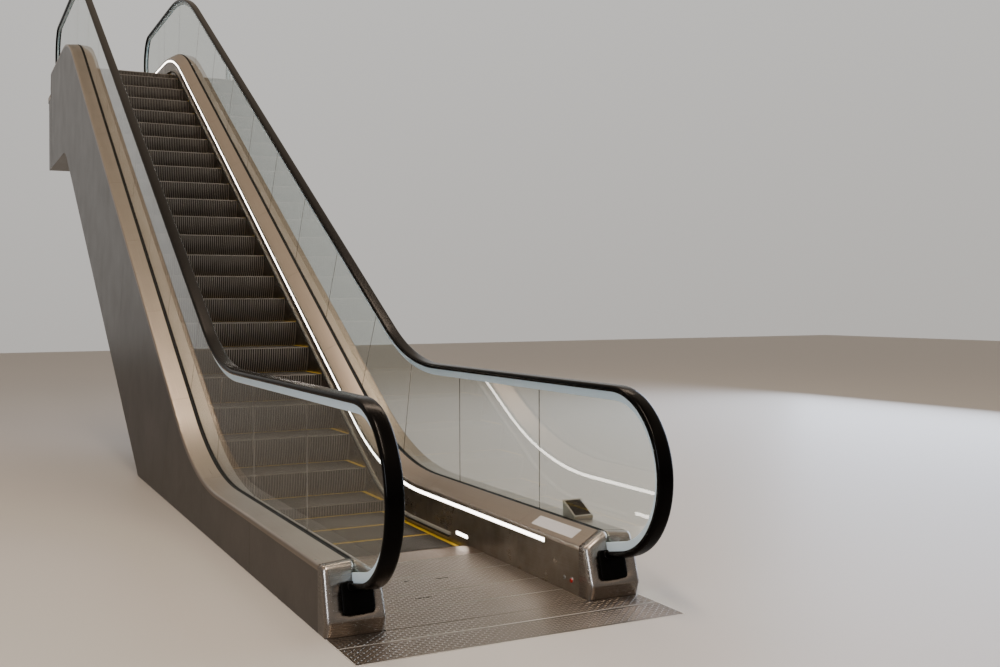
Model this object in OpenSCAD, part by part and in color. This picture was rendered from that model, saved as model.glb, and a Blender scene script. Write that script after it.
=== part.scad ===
// Indoor escalator with glass balustrades, standing between two floors.
// X runs across the escalator, Y runs up it and Z points up. The origin is on the underside
// of the lower landing, on the centre line, below the front edge of the lower newel caps.

/* [Run] */
// Height from the lower floor to the upper floor
rise = 4400; // [3400:100:5400]
// Slope of the inclined run, in degrees
slope = 30; // [28:0.5:32]
// Level length at the lower comb, up to the break of the walking line
lower_level_l = 1272; // [1200:10:1600]
// Level length at the upper comb, from the break of the walking line
upper_level_l = 1160; // [1100:10:1500]
// Distance from a comb to the end of the handrail beside it
comb_to_rail_end = 1771; // [1700:1:2000]
// Distance that a handrail reaches out in front of its newel cap
rail_reach = 443; // [420:1:500]

/* [Steps] */
// Width of a step
step_w = 1000; // [600:200:1200]
// Length of the step band that one step takes
step_pitch = 400; // [390:1:410]
// Clearance between one tread and the next
step_gap = 4; // [3:0.5:6]
// Thickness of a tread
tread_t = 25; // [20:1:30]
// Thickness of a riser
riser_t = 10; // [6:1:14]
// Depth of the treads below the floor at a landing
tread_drop = 25; // [20:1:30]
// Radius of the walking line where the band bends
step_bend_r = 1500; // [1400:50:1700]
// Distance of the first step's nosing before the lower comb
first_step_back = 281; // [240:1:320]
// Width of a yellow edge insert
edge_w = 25; // [10:1:30]
// Radius of a step roller
roller_r = 35; // [30:1:40]

/* [Balustrade] */
// Clearance between a step and the skirt beside it
skirt_gap = 4; // [3:0.5:5]
// Width of one balustrade, from its skirt to its outer edge
balustrade_w = 266; // [256:2:290]
// Thickness of the skirt and cladding sheets
sheet_t = 3; // [2:0.5:4]
// Distance from the skirt to the middle of the glass
glass_in = 124; // [110:1:130]
// Thickness of the glass
glass_t = 12; // [10:1:12]
// Height of the glass clamp above the floor
clamp_h = 302; // [290:1:320]
// Height of the outer deck's lip above the floor
outer_lip_h = 278; // [266:1:284]
// Height of the light strip's top edge above the floor
light_h = 214; // [200:1:220]
// Height of the light strip itself
light_strip_h = 28; // [20:1:36]
// Distance that the balustrade's bend lies behind the break of the walking line
bend_lag = 150; // [130:5:170]
// Radius of the balustrade's lower bend, at floor height
low_bend_r = 2658; // [2500:10:2800]
// Radius of the balustrade's upper bend, at floor height
up_bend_r = 2000; // [1900:10:2200]
// Length of a deck, skirt or cladding panel
panel_l = 1200; // [1000:50:1400]
// Length of a pane of glass
pane_l = 1000; // [900:50:1200]
// Distance from the front of a newel cap to the end of the first pane
first_pane_l = 703; // [650:1:760]
// Width of an open joint between panels
joint_w = 2; // [1:0.5:3]

/* [Handrail] */
// Height of the handrail above the floor
rail_h = 1000; // [950:10:1050]
// Width of the handrail
rail_w = 80; // [76:1:84]
// Thickness of the handrail
rail_t = 31; // [28:1:36]
// Outer radius of the handrail round a newel
newel_r = 397; // [370:1:410]
// Height of the pale guide that shows below the handrail
guide_h = 41; // [36:1:60]
// Width of that guide
guide_w = 32; // [28:1:36]

/* [Landings] */
// Depth of the landing from the floor down to the underside
landing_t = 60; // [50:1:80]
// Length of the floor plates in front of the newel caps
front_plate_l = 375; // [300:5:500]
// Length of a newel cap
cap_l = 100; // [90:1:120]
// Thickness of a newel cap's shell
cap_t = 3; // [2:0.5:4]
// Distance that a newel cap's kick band leans out
kick_out = 22; // [10:1:30]
// Height of that kick band
kick_h = 64; // [50:1:80]
// Thickness of the patterned floor plates
plate_t = 6; // [5:0.5:8]
// Length of each of the first two floor plates behind the newel caps
short_plate_l = 250; // [200:10:300]
// Length of the bright comb plate
comb_plate_l = 206; // [180:2:260]
// Length of its tongue below the last floor plate
comb_tongue_l = 214; // [180:2:240]
// Length of the comb segments in front of it
comb_l = 112; // [100:1:130]
// Number of comb segments across a landing
comb_segments = 5; // [3:1:7]
// Distance between two comb teeth
tooth_pitch = 9.1; // [8.5:0.1:10]

/* [Truss] */
// Depth of the underside below the floor line, square to the run
truss_depth = 1070; // [1020:10:1120]
// Side of the truss chords and posts
chord = 80; // [70:5:90]
// Side of the cross beams
beam = 60; // [50:5:70]
// Length of the angle that rests on the upper floor
bearing_l = 130; // [100:10:160]
// Distance from the end of a balustrade's deck to its first bracket
first_bracket_l = 400; // [300:10:500]

/* [Hidden] */
$fn = 64;

// Places across the escalator, measured from its centre line
skirt_x = step_w / 2 + skirt_gap;
outer_x = skirt_x + balustrade_w;
glass_x = skirt_x + glass_in;
clad_x = outer_x - sheet_t;

// Places along the escalator
comb_y = comb_to_rail_end - rail_reach;
newel_y = newel_r - rail_reach;
walk_break_y = comb_y + lower_level_l;
run_l = rise / tan(slope);
far_y = walk_break_y + run_l + upper_level_l + comb_y;
plate_end_y = far_y + front_plate_l;
truss_end_y = plate_end_y - bearing_l;

// Floor, and the walking line at its break
floor_z = landing_t;
nose_break_y = walk_break_y - tread_drop / tan(slope);

// A line along the run is [start y, break y, level z, lower bend radius, upper bend radius,
// end y], and a station on it is the length along it from its start
deck_line = [newel_y, walk_break_y + bend_lag, floor_z, low_bend_r, up_bend_r, far_y - newel_y];
nose_line = [comb_y - first_step_back, nose_break_y, floor_z - tread_drop,
             step_bend_r, step_bend_r, far_y - comb_y];
under_line = [newel_y, walk_break_y + bend_lag, floor_z, low_bend_r, up_bend_r, truss_end_y];

function tangent(r) = r * tan(slope / 2);
function arc_l(r) = r * slope * PI / 180;
function turn_of(r, l) = l / r * 180 / PI;
function top_break(p) = p[1] + run_l;
function st1(p) = p[1] - tangent(p[3]) - p[0];
function st2(p) = st1(p) + arc_l(p[3]);
function st3(p) = st2(p) + rise / sin(slope) - tangent(p[3]) - tangent(p[4]);
function st4(p) = st3(p) + arc_l(p[4]);
function st5(p) = st4(p) + p[5] - top_break(p) - tangent(p[4]);
function st_of(p, y) = y - p[0];
function bends(p) = [st1(p), st2(p), st3(p), st4(p)];

// Place of a station as [y, z]
function low_end(p) = [p[1] + tangent(p[3]) * cos(slope), p[2] + tangent(p[3]) * sin(slope)];
function at(p, s) =
    s <= st1(p) ? [p[0] + s, p[2]] :
    s <= st2(p) ? let(a = turn_of(p[3], s - st1(p)))
        [p[0] + st1(p) + p[3] * sin(a), p[2] + p[3] * (1 - cos(a))] :
    s <= st3(p) ? low_end(p) + (s - st2(p)) * [cos(slope), sin(slope)] :
    s <= st4(p) ? let(a = slope - turn_of(p[4], s - st3(p)))
        [top_break(p) + tangent(p[4]) - p[4] * sin(a), p[2] + rise - p[4] * (1 - cos(a))] :
    [top_break(p) + tangent(p[4]) + s - st4(p), p[2] + rise];

function heading(p, s) =
    s <= st1(p) || s >= st4(p) ? 0 :
    s < st2(p) ? turn_of(p[3], s - st1(p)) :
    s <= st3(p) ? slope :
    slope - turn_of(p[4], s - st3(p));

// Joints between two stations, counted from a first joint
function joints(a, b, first, pitch) =
    concat([a], [for (s = [first : pitch : b - pitch / 4]) if (s > a + pitch / 4) s], [b]);

// A section is drawn in X and height, and is swept along the run by these modules

module straight(l) {
    translate([0, l, 0])
        rotate([90, 0, 0])
            linear_extrude(l)
                children();
}

// Turns upwards about a centre r above the line, between two headings
module bend_up(r, a0, a1) {
    translate([0, 0, r])
        rotate([90, 0, 90])
            rotate([0, 0, a0 - 90])
                rotate_extrude(angle = a1 - a0)
                    translate([r, 0])
                        rotate(90)
                            children();
}

// Turns downwards about a centre r below the line, between two headings
module bend_down(r, a0, a1) {
    translate([0, 0, -r])
        rotate([90, 0, 90])
            rotate([0, 0, 90 - a1])
                rotate_extrude(angle = a1 - a0)
                    translate([r, 0])
                        mirror([1, -1])
                            children();
}

// A sweep between two stations, in straight and bent lengths with a hairline between them
hair = 0.2;

// Clearance of a piece from what it sits on
seat_gap = 0.3;

module along(p, a, b) {
    lo = [for (s = [a, st1(p), st2(p), st3(p), st4(p)]) max(a, s + (s > a ? hair / 2 : 0))];
    hi = [for (s = [st1(p), st2(p), st3(p), st4(p), b]) min(b, s - (s < b ? hair / 2 : 0))];
    if (lo[0] < hi[0])
        translate([0, p[0] + lo[0], p[2]])
            straight(hi[0] - lo[0])
                children();
    if (lo[1] < hi[1])
        translate([0, p[0] + st1(p), p[2]])
            bend_up(p[3], turn_of(p[3], lo[1] - st1(p)), turn_of(p[3], hi[1] - st1(p)))
                children();
    if (lo[2] < hi[2])
        translate([0, low_end(p)[0], low_end(p)[1]])
            rotate([slope, 0, 0])
                translate([0, lo[2] - st2(p), 0])
                    straight(hi[2] - lo[2])
                        children();
    if (lo[3] < hi[3])
        translate([0, top_break(p) + tangent(p[4]), p[2] + rise])
            bend_down(p[4], turn_of(p[4], lo[3] - st3(p)) - slope, turn_of(p[4], hi[3] - st3(p)) - slope)
                children();
    if (lo[4] < hi[4])
        translate([0, top_break(p) + tangent(p[4]) + lo[4] - st4(p), p[2] + rise])
            straight(hi[4] - lo[4])
                children();
}

// A short straight piece square to the run, centred on a station
module across(p, s, l) {
    translate([0, at(p, s)[0], at(p, s)[1]])
        rotate([heading(p, s), 0, 0])
            translate([0, -l / 2, 0])
                straight(l)
                    children();
}

// Separate lengths of one section, with open joints between them
module lengths(p, cuts) {
    for (k = [0 : len(cuts) - 2])
        along(p, cuts[k] + (k > 0 ? joint_w / 2 : 0), cuts[k + 1] - (k < len(cuts) - 2 ? joint_w / 2 : 0))
            children();
}

module on_side(side) {
    if (side > 0)
        children();
    else
        mirror([1, 0, 0])
            children();
}

module at_upper_end() {
    translate([0, far_y, rise])
        mirror([0, 1, 0])
            children();
}

module at_both_ends() {
    children();
    at_upper_end()
        children();
}

module above_ground(z = 0) {
    intersection() {
        children();
        translate([-outer_x, -rail_reach, z])
            cube([2 * outer_x, plate_end_y + 2 * rail_reach, rise + 2 * rail_h + landing_t]);
    }
}

// A side profile drawn in Y and Z, as a plate between two places across the run
module plate_x(x0, x1) {
    translate([x0, 0, 0])
        rotate([90, 0, 90])
            linear_extrude(x1 - x0)
                children();
}

module box(lo, hi) {
    translate(lo)
        cube(hi - lo);
}

// Stations on the deck line
cap_st = st_of(deck_line, cap_l);
end_st = st5(deck_line) - cap_st;
first_incline_l = 892;
incline_joint = st2(deck_line) + first_incline_l;
deck_first = incline_joint - 3 * panel_l;
clad_first = incline_joint - 2.55 * panel_l;
pane_first = st_of(deck_line, first_pane_l);
deck_cuts = joints(cap_st, end_st, deck_first, panel_l);
clad_cuts = joints(cap_st, end_st, clad_first, panel_l);

// Landings, drawn at the lower end

frame_bar = 30;
rib_w = 4;
plate_gap = 1;
seam_y = -150;
skirt_clear = 0.5;
inner_x = skirt_x - skirt_clear;
comb_back_y = comb_y - comb_plate_l;
tongue_y = comb_back_y - comb_tongue_l;
frame_top = floor_z - plate_t;
comb_plate_t = 12;
frame_end_y = comb_y - first_step_back - 8;
plate_cuts = [0, short_plate_l, 2 * short_plate_l, short_plate_l + comb_back_y / 2, comb_back_y];

module landing_frame() {
    color("silver")
        union() {
            difference() {
                union() {
                    box([-outer_x, -front_plate_l, 0], [outer_x, 0, frame_top]);
                    box([-inner_x, 0, 0], [inner_x, frame_end_y, floor_z - comb_plate_t]);
                }
                for (side = [-1, 1])
                    box([side > 0 ? frame_bar / 2 : -outer_x + frame_bar, -front_plate_l + frame_bar, -1],
                        [side > 0 ? outer_x - frame_bar : -frame_bar / 2, seam_y - frame_bar, landing_t]);
                box([-inner_x + frame_bar, frame_bar, -1],
                    [inner_x - frame_bar, tongue_y - frame_bar, landing_t]);
            }
            box([-inner_x, 0, floor_z - comb_plate_t], [-inner_x + frame_bar, tongue_y, frame_top]);
            box([inner_x - frame_bar, 0, floor_z - comb_plate_t], [inner_x, tongue_y, frame_top]);
            box([-outer_x, -front_plate_l, frame_top], [outer_x, -front_plate_l + rib_w, floor_z]);
            box([-outer_x, seam_y - rib_w / 2, frame_top], [outer_x, seam_y + rib_w / 2, floor_z]);
            for (x = [-outer_x, outer_x - rib_w])
                box([x, -front_plate_l, frame_top], [x + rib_w, 0, floor_z]);
        }
}

module floor_plates() {
    edge_x = outer_x - rib_w - plate_gap;
    color("gainsboro") {
        box([-edge_x, -front_plate_l + rib_w + plate_gap, frame_top],
            [edge_x, seam_y - rib_w / 2 - plate_gap, floor_z]);
        box([-edge_x, seam_y + rib_w / 2 + plate_gap, frame_top], [edge_x, -plate_gap, floor_z]);
        for (k = [0 : len(plate_cuts) - 2])
            box([-inner_x + plate_gap, plate_cuts[k] + plate_gap, frame_top],
                [inner_x - plate_gap, plate_cuts[k + 1] - plate_gap, floor_z]);
    }
}

// The comb plate's thin tongue lies on the landing frame and carries the last floor plate
module comb_plate() {
    corner_r = 40;
    color("lightgray")
        union() {
            translate([0, 0, floor_z - comb_plate_t])
                linear_extrude(comb_plate_t)
                    union() {
                        translate([-inner_x, comb_back_y])
                            square([2 * inner_x, comb_plate_l - corner_r]);
                        translate([-inner_x + corner_r, comb_back_y])
                            square([2 * (inner_x - corner_r), comb_plate_l]);
                        for (x = [-inner_x + corner_r, inner_x - corner_r])
                            translate([x, comb_y - corner_r])
                                circle(corner_r);
                    }
            box([-inner_x, tongue_y, floor_z - comb_plate_t], [inner_x, comb_back_y, frame_top]);
        }
}

// One comb segment: a sloped root with a row of teeth
module combs() {
    seg_w = (2 * inner_x - 80) / comb_segments;
    tooth_l = comb_l / 2;
    tooth_t = 2.6;
    teeth = floor((seg_w - tooth_t) / tooth_pitch);
    low = floor_z - tread_drop + 1;
    start_x = (seg_w - (teeth - 1) * tooth_pitch) / 2;
    color("darkgray")
        for (k = [0 : comb_segments - 1])
            translate([-seg_w * comb_segments / 2 + k * seg_w, comb_y, 0])
                intersection() {
                    translate([0, 0, low])
                        linear_extrude(floor_z - low)
                            union() {
                                translate([skirt_clear, 0])
                                    square([seg_w - 2 * skirt_clear, comb_l - tooth_l]);
                                for (t = [0 : teeth - 1])
                                    translate([start_x + t * tooth_pitch - tooth_t / 2, comb_l - tooth_l - 1])
                                        square([tooth_t, tooth_l + 1]);
                            }
                    plate_x(0, seg_w)
                        polygon([[0, low], [comb_l, low], [comb_l, low + 2], [0, floor_z - 1]]);
                }
}

module landing_frame_lower() { landing_frame(); }
module floor_plates_lower() { floor_plates(); }
module comb_plate_lower() { comb_plate(); }
module combs_lower() { combs(); }
module landing_frame_upper() { at_upper_end() landing_frame(); }
module floor_plates_upper() { at_upper_end() floor_plates(); }
module comb_plate_upper() { at_upper_end() comb_plate(); }
module combs_upper() { at_upper_end() combs(); }

// Steps

step_hw = step_w / 2 - 1;
riser_turn = 33.5;
riser_h = step_pitch * sin(riser_turn);
tread_l = step_pitch - step_gap;
axle_y = step_pitch / 2;
axle_z = -riser_h + 6;
bearer_t = floor_z - tread_drop - tread_t;
frame_x = 430;
frame_t = 12;
roller_t = 30;
roller_x = frame_x + frame_t + 4;
last_st = st5(nose_line);
step_count = floor(last_st / step_pitch) + 1;
function nose(i) = at(nose_line, i * step_pitch);
function low_step(i) = nose(i)[1] + axle_z - roller_r < bearer_t;
function top_step(i) = i * step_pitch > st3(nose_line);

module step_profile() {
    translate([0, -tread_t])
        square([tread_l, tread_t]);
    translate([step_pitch, 0])
        intersection() {
            difference() {
                circle(step_pitch, $fn = 180);
                circle(step_pitch - riser_t, $fn = 180);
            }
            polygon([[0, 0], [-1.2 * step_pitch, 0], [-1.2 * step_pitch, -1.2 * step_pitch * tan(riser_turn)]]);
        }
}

module step_body() {
    plate_x(-step_hw, step_hw)
        step_profile();
    for (x = [-frame_x - frame_t, frame_x])
        plate_x(x, x + frame_t)
            polygon([[riser_t / 2, -tread_t / 2], [tread_l - 6, -tread_t / 2], [tread_l - 30, -riser_h / 2],
                     [axle_y + 25, axle_z - 15], [axle_y - 25, axle_z - 15], [riser_h / 3, -riser_h + 6]]);
}

module place_step(i) {
    translate([0, nose(i)[0], nose(i)[1]])
        children();
}

module steps_lower() {
    color("dimgray")
        for (i = [0 : step_count - 1])
            if (low_step(i))
                above_ground(bearer_t)
                    place_step(i)
                        step_body();
}

module steps_incline() {
    color("dimgray")
        for (i = [0 : step_count - 1])
            if (!low_step(i) && !top_step(i))
                place_step(i)
                    step_body();
}

module steps_upper() {
    color("dimgray")
        for (i = [0 : step_count - 1])
            if (top_step(i))
                place_step(i)
                    step_body();
}

// Yellow inserts that lie on the side edges of each tread
module step_edge_inserts() {
    insert_t = 1;
    color("gold")
        for (i = [0 : step_count - 1])
            if (nose(i)[0] > comb_y && nose(i)[0] + step_pitch < far_y - comb_y)
                place_step(i)
                    for (x = [-step_hw, step_hw - edge_w])
                        box([x, 0, 0], [x + edge_w, tread_l - step_pitch * (1 - cos(slope)), insert_t]);
}

// Each step has a stub axle and a roller on both sides
module step_axles() {
    stub_r = 15;
    color("gray")
        for (i = [0 : step_count - 1])
            if (!low_step(i))
                place_step(i)
                    for (side = [-1, 1])
                        on_side(side)
                            translate([0, axle_y, axle_z])
                                union() {
                                    plate_x(frame_x + frame_t, roller_x + roller_t)
                                        circle(stub_r);
                                    plate_x(roller_x, roller_x + roller_t)
                                        circle(roller_r);
                                }
}

// Rails below the step rollers, and the bearers below the level steps
track_line = [nose_line[0] + axle_y, nose_line[1] + axle_y, nose_line[2] + axle_z,
              step_bend_r, step_bend_r, far_y - comb_y + step_pitch];
track_t = 20;

module guide_tracks() {
    color("slategray") {
        for (x = [-roller_x - roller_t - 10, roller_x - 10])
            above_ground()
                along(track_line, st1(track_line), st5(track_line))
                    translate([x, -roller_r - track_t])
                        square([roller_t + 20, track_t]);
        for (x = [-340, 300])
            box([x, frame_end_y, 0], [x + 40, nose_break_y + tangent(step_bend_r) / 2, bearer_t]);
    }
}

// Truss

truss_x = clad_x - chord;
top_chord_z = 120;
under_z = -truss_depth + sheet_t;
post_in = 2;
post_stops = concat([for (s = [incline_joint : panel_l : st3(under_line) - chord]) s],
                    [for (s = [st4(under_line) + panel_l : panel_l : st5(under_line) - chord]) s]);

module truss_side() {
    color("darkslategray")
        above_ground()
            union() {
                along(deck_line, cap_st, end_st)
                    translate([truss_x, top_chord_z])
                        square([chord, chord]);
                along(under_line, st1(under_line), st5(under_line) - sheet_t)
                    translate([truss_x, under_z])
                        square([chord, chord]);
                for (s = concat([st1(under_line) / 2], bends(under_line), post_stops))
                    across(under_line, s, chord)
                        translate([truss_x + post_in, under_z + post_in])
                            square([chord - 2 * post_in, top_chord_z - under_z + chord / 2]);
                translate([truss_x, truss_end_y - sheet_t - chord, rise + floor_z + under_z])
                    cube([chord, chord, -floor_z - under_z]);
                translate([truss_x, far_y - cap_l - chord, rise - chord])
                    cube([chord, truss_end_y - sheet_t - far_y + cap_l + chord, chord]);
            }
}

module truss_right() { truss_side(); }
module truss_left() { mirror([1, 0, 0]) truss_side(); }

// Height of the lowest edge of a beam whose underside lies d above the line
function beam_low(s, d) =
    at(under_line, s)[1] + d * cos(heading(under_line, s)) - beam / 2 * sin(heading(under_line, s));

// Beams from truss to truss, below the tracks and along the underside, where they clear the ground
module cross_beams() {
    nose_rise = bend_lag * sin(slope);
    track_low = nose_rise + axle_z * cos(slope) - axle_y * sin(slope) - roller_r - track_t;
    track_low_flat = axle_z - tread_drop - roller_r - track_t;
    color("slategray")
        for (s = post_stops) {
            upper = (s < st3(under_line) ? track_low : track_low_flat) - seat_gap - beam;
            for (b = [[upper, truss_x + post_in - seat_gap], [under_z, truss_x]])
                if (beam_low(s, b[0]) > 0)
                    across(under_line, s, beam)
                        translate([-b[1], b[0]])
                            square([2 * b[1], beam]);
        }
}

// Arms on the truss that carry the decks, the clamps and the skirts
bracket_t = 10;
bracket_low = top_chord_z + chord;
clamp_low = 240;

module deck_brackets() {
    color("slategray")
        for (side = [-1, 1])
            on_side(side)
                for (s = joints(cap_st + first_bracket_l, end_st - first_bracket_l,
                                deck_first + panel_l / 2, panel_l))
                    across(deck_line, s, bracket_t)
                        translate([skirt_x + sheet_t, bracket_low])
                            square([clad_x - skirt_x - sheet_t, clamp_low - bracket_low]);
}

// Balustrade sections

skirt_low = -260;
skirt_top = light_h - light_strip_h;
light_end = 434;
light_st = st_of(deck_line, light_end);

module skirt_side() {
    color("rosybrown")
        above_ground() {
            lengths(deck_line, deck_cuts)
                translate([skirt_x, skirt_low])
                    square([sheet_t, skirt_top - skirt_low]);
            at_both_ends()
                box([skirt_x, cap_l, floor_z + skirt_top], [skirt_x + sheet_t, light_end, floor_z + light_h]);
        }
}

module skirt_right() { skirt_side(); }
module skirt_left() { mirror([1, 0, 0]) skirt_side(); }

module skirt_lights() {
    color("white")
        for (side = [-1, 1])
            on_side(side)
                lengths(deck_line, joints(light_st, st5(deck_line) - light_st, deck_first, panel_l))
                    translate([skirt_x - 1, skirt_top])
                        square([sheet_t + 1, light_strip_h]);
}

brush_y = 1569;
brush_h = 33;
first_brush_l = 800;

module skirt_brushes() {
    brush_a = st_of(nose_line, brush_y);
    color("black")
        for (side = [-1, 1])
            on_side(side)
                lengths(nose_line, joints(brush_a, st5(nose_line) - brush_y + comb_y,
                                          brush_a + first_brush_l, panel_l))
                    translate([skirt_x, brush_h])
                        polygon([[0, 0], [-14, -4], [-20, 2], [-12, 12], [-6, 22], [0, 22]]);
}

inner_lip_h = 236;
clamp_x0 = glass_x - 19;
clamp_x1 = glass_x + 19;
deck_t = 3;

module inner_deck() {
    color("tan")
        lengths(deck_line, deck_cuts)
            polygon([[skirt_x, light_h], [skirt_x, inner_lip_h], [clamp_x0, clamp_h - 2],
                     [clamp_x0, clamp_h - 2 - deck_t], [skirt_x + deck_t, inner_lip_h - deck_t / 2],
                     [skirt_x + deck_t, light_h]]);
}

module inner_deck_right() { inner_deck(); }
module inner_deck_left() { mirror([1, 0, 0]) inner_deck(); }

module outer_deck() {
    lip_low = outer_lip_h - 16;
    color("tan")
        lengths(deck_line, clad_cuts)
            polygon([[clamp_x1, clamp_h - 2], [outer_x - 12, outer_lip_h + 12], [outer_x, outer_lip_h],
                     [outer_x, lip_low], [outer_x - deck_t, lip_low], [outer_x - deck_t, outer_lip_h - 1],
                     [outer_x - 13, outer_lip_h + 9], [clamp_x1, clamp_h - 2 - deck_t]]);
}

module outer_deck_right() { outer_deck(); }
module outer_deck_left() { mirror([1, 0, 0]) outer_deck(); }

slot_w = glass_t + 2;
glass_low = clamp_low + 14;

module glass_clamps() {
    color("black")
        for (side = [-1, 1])
            on_side(side)
                lengths(deck_line, deck_cuts)
                    difference() {
                        translate([clamp_x0, clamp_low])
                            square([clamp_x1 - clamp_x0, clamp_h - clamp_low]);
                        translate([glass_x - slot_w / 2, glass_low])
                            square([slot_w, clamp_h - glass_low + 1]);
                    }
}

// Handrail, its guide and the glass. They turn about newel_z, and then slope down to the inlet.
newel_z = floor_z + rail_h - newel_r;
return_turn = 12;
slope_y = newel_y - newel_r * sin(return_turn);
slope_z = newel_z - newel_r * cos(return_turn);
guide_in = 20;
guide_top = rail_h - rail_t + guide_in;
guide_low = rail_h - rail_t - guide_h;
guide_end = cap_l - 2;
glass_edge = 18;
glass_top = guide_low + glass_edge;
pane_cuts = joints(pane_first, st5(deck_line) - pane_first, pane_first, pane_l);

module down_slope() {
    translate([0, slope_y, slope_z])
        rotate([-return_turn, 0, 0])
            children();
}

// End pane: its edge follows the newel and the slope below it
module end_pane() {
    pane_r = glass_top - rail_h + newel_r;
    foot_y = newel_y - pane_r * sin(return_turn);
    foot_z = newel_z - pane_r * cos(return_turn);
    pane_end = first_pane_l - joint_w / 2;
    plate_x(glass_x - glass_t / 2, glass_x + glass_t / 2)
        union() {
            intersection() {
                translate([newel_y, newel_z])
                    circle(pane_r, $fn = 180);
                translate([newel_y - pane_r, newel_z - pane_r])
                    square([pane_r, 2 * pane_r]);
            }
            polygon([[foot_y, foot_z], [guide_end, foot_z - (guide_end - foot_y) * tan(return_turn)],
                     [guide_end, floor_z + glass_low], [pane_end, floor_z + glass_low],
                     [pane_end, newel_z + pane_r], [newel_y, newel_z + pane_r]]);
        }
}

module glass_side() {
    color("lightcyan", 0.4) {
        at_both_ends()
            end_pane();
        for (k = [0 : len(pane_cuts) - 2])
            along(deck_line, pane_cuts[k] + joint_w / 2, pane_cuts[k + 1] - joint_w / 2)
                translate([glass_x - glass_t / 2, glass_low])
                    square([glass_t, glass_top - glass_low]);
    }
}

module glass_right() { glass_side(); }
module glass_left() { mirror([1, 0, 0]) glass_side(); }

// T-shaped guide with a slot for the glass
head_w = 52;
head_t = 8;

module guide_section() {
    difference() {
        union() {
            translate([glass_x - guide_w / 2, guide_low])
                square([guide_w, guide_top - guide_low - head_t]);
            translate([glass_x - head_w / 2, guide_top - head_t])
                square([head_w, head_t]);
        }
        translate([glass_x - slot_w / 2, guide_low - 1])
            square([slot_w, glass_top - guide_low + 1]);
    }
}

module guide_side() {
    hair_turn = turn_of(newel_r, hair);
    slope_l = (guide_end - slope_y - (rail_h - guide_low) * sin(return_turn)) / cos(return_turn);
    lengths(deck_line, joints(0, st5(deck_line), pane_first + 700, 2 * pane_l))
        guide_section();
    at_both_ends() {
        for (turn = [[return_turn - 180, -90], [-90, 0]])
            translate([0, newel_y, floor_z + rail_h])
                bend_down(newel_r, turn[0] + hair_turn, turn[1] - hair_turn)
                    translate([0, -rail_h])
                        guide_section();
        down_slope()
            straight(slope_l)
                mirror([0, 1])
                    translate([0, -rail_h])
                        guide_section();
    }
}

module handrail_guides() {
    color("azure")
        for (side = [-1, 1])
            on_side(side)
                guide_side();
}

// Handrail section with its outer face on the line, thinned all round by inset
module rail_section(inset = 0) {
    round_r = 12;
    bevel = round_r * (1 - cos(45));
    half = rail_w / 2 - inset;
    mouth = guide_w / 2 + 2 + inset;
    cavity = head_w / 2 + 1 + inset;
    roof = guide_top + seat_gap - rail_h + inset;
    cavity_low = guide_top - head_t - 1 - rail_h - inset;
    low = -rail_t + inset;
    right = [[mouth, low], [half - round_r, low], [half - bevel, low + bevel], [half, low + round_r],
             [half, -inset - round_r], [half - bevel, -inset - bevel], [half - round_r, -inset]];
    inner = [[-cavity, roof], [-cavity, cavity_low], [-mouth, cavity_low]];
    translate([glass_x, 0])
        polygon(concat([for (q = right) q], [for (k = [6 : -1 : 0]) [-right[k][0], right[k][1]]],
                       [for (k = [2 : -1 : 0]) inner[k]], [for (k = [0 : 2]) [-inner[k][0], inner[k][1]]]));
}

// The rail slopes down from each newel, and bends back to its level return run below the deck
return_h = 110;
return_r = 500;
return_drop = slope_z - floor_z - return_h - return_r * (1 - cos(return_turn));
return_slope_l = return_drop / sin(return_turn);
return_y = slope_y + return_slope_l * cos(return_turn) + return_r * sin(return_turn);
return_st = st_of(deck_line, return_y);
lap_t = 0.3;
lap_l = 3;

module rail_under(inset = 0) {
    mirror([0, 1])
        rail_section(inset);
}

module rail_end() {
    translate([0, newel_y, floor_z + rail_h])
        bend_down(newel_r, return_turn - 180, 0)
            rail_section();
    down_slope()
        translate([0, -lap_l, 0])
            straight(return_slope_l + 2 * lap_l)
                rail_under(lap_t);
    down_slope()
        translate([0, hair, 0])
            straight(return_slope_l - 2 * hair)
                rail_under();
    translate([0, return_y, floor_z + return_h])
        bend_up(return_r, -return_turn, 0)
            rail_under();
}

// A run of the rail at one height, its lengths joined by inner sleeves at the ends and bends
module rail_run(a, b, h) {
    along(deck_line, a + hair, b - hair)
        translate([0, h])
            children(0);
    for (s = concat([a], bends(deck_line), [b]))
        across(deck_line, s, 2 * lap_l)
            translate([0, h])
                children(1);
}

module rail_side() {
    color("black")
        union() {
            rail_run(0, st5(deck_line), rail_h) {
                rail_section();
                rail_section(lap_t);
            }
            rail_run(return_st, st5(deck_line) - return_st, return_h) {
                rail_under();
                rail_under(lap_t);
            }
            at_both_ends()
                rail_end();
        }
}

module handrail_right() { rail_side(); }
module handrail_left() { mirror([1, 0, 0]) rail_side(); }

// Newel caps

inlet_w = 140;
inlet_low = 94;
inlet_high = 222;
cap_back = 46;
edge_r = 24;

module cap_profile(inset) {
    top = clamp_h - 2 - inset;
    polygon([[inset, 0], [inset, floor_z], [inset - kick_out, floor_z + kick_h],
             [cap_back - 8 + inset, floor_z + top - 12], [cap_back + inset, floor_z + top - 3],
             [cap_back + 14 + inset, floor_z + top], [cap_l, floor_z + top], [cap_l, 0]]);
}

// Front view of the cap: sloped towards the skirt and rounded down to the outer edge
module cap_front(inset) {
    polygon([[skirt_x + inset, -1], [skirt_x + inset, floor_z + inner_lip_h - inset / 2],
             [clamp_x0, floor_z + clamp_h - 2 - inset], [clamp_x1, floor_z + clamp_h - 2 - inset],
             [outer_x - 12 - inset / 2, floor_z + outer_lip_h + 12 - inset],
             [outer_x - inset, floor_z + outer_lip_h - inset], [outer_x - inset, -1]]);
}

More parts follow.
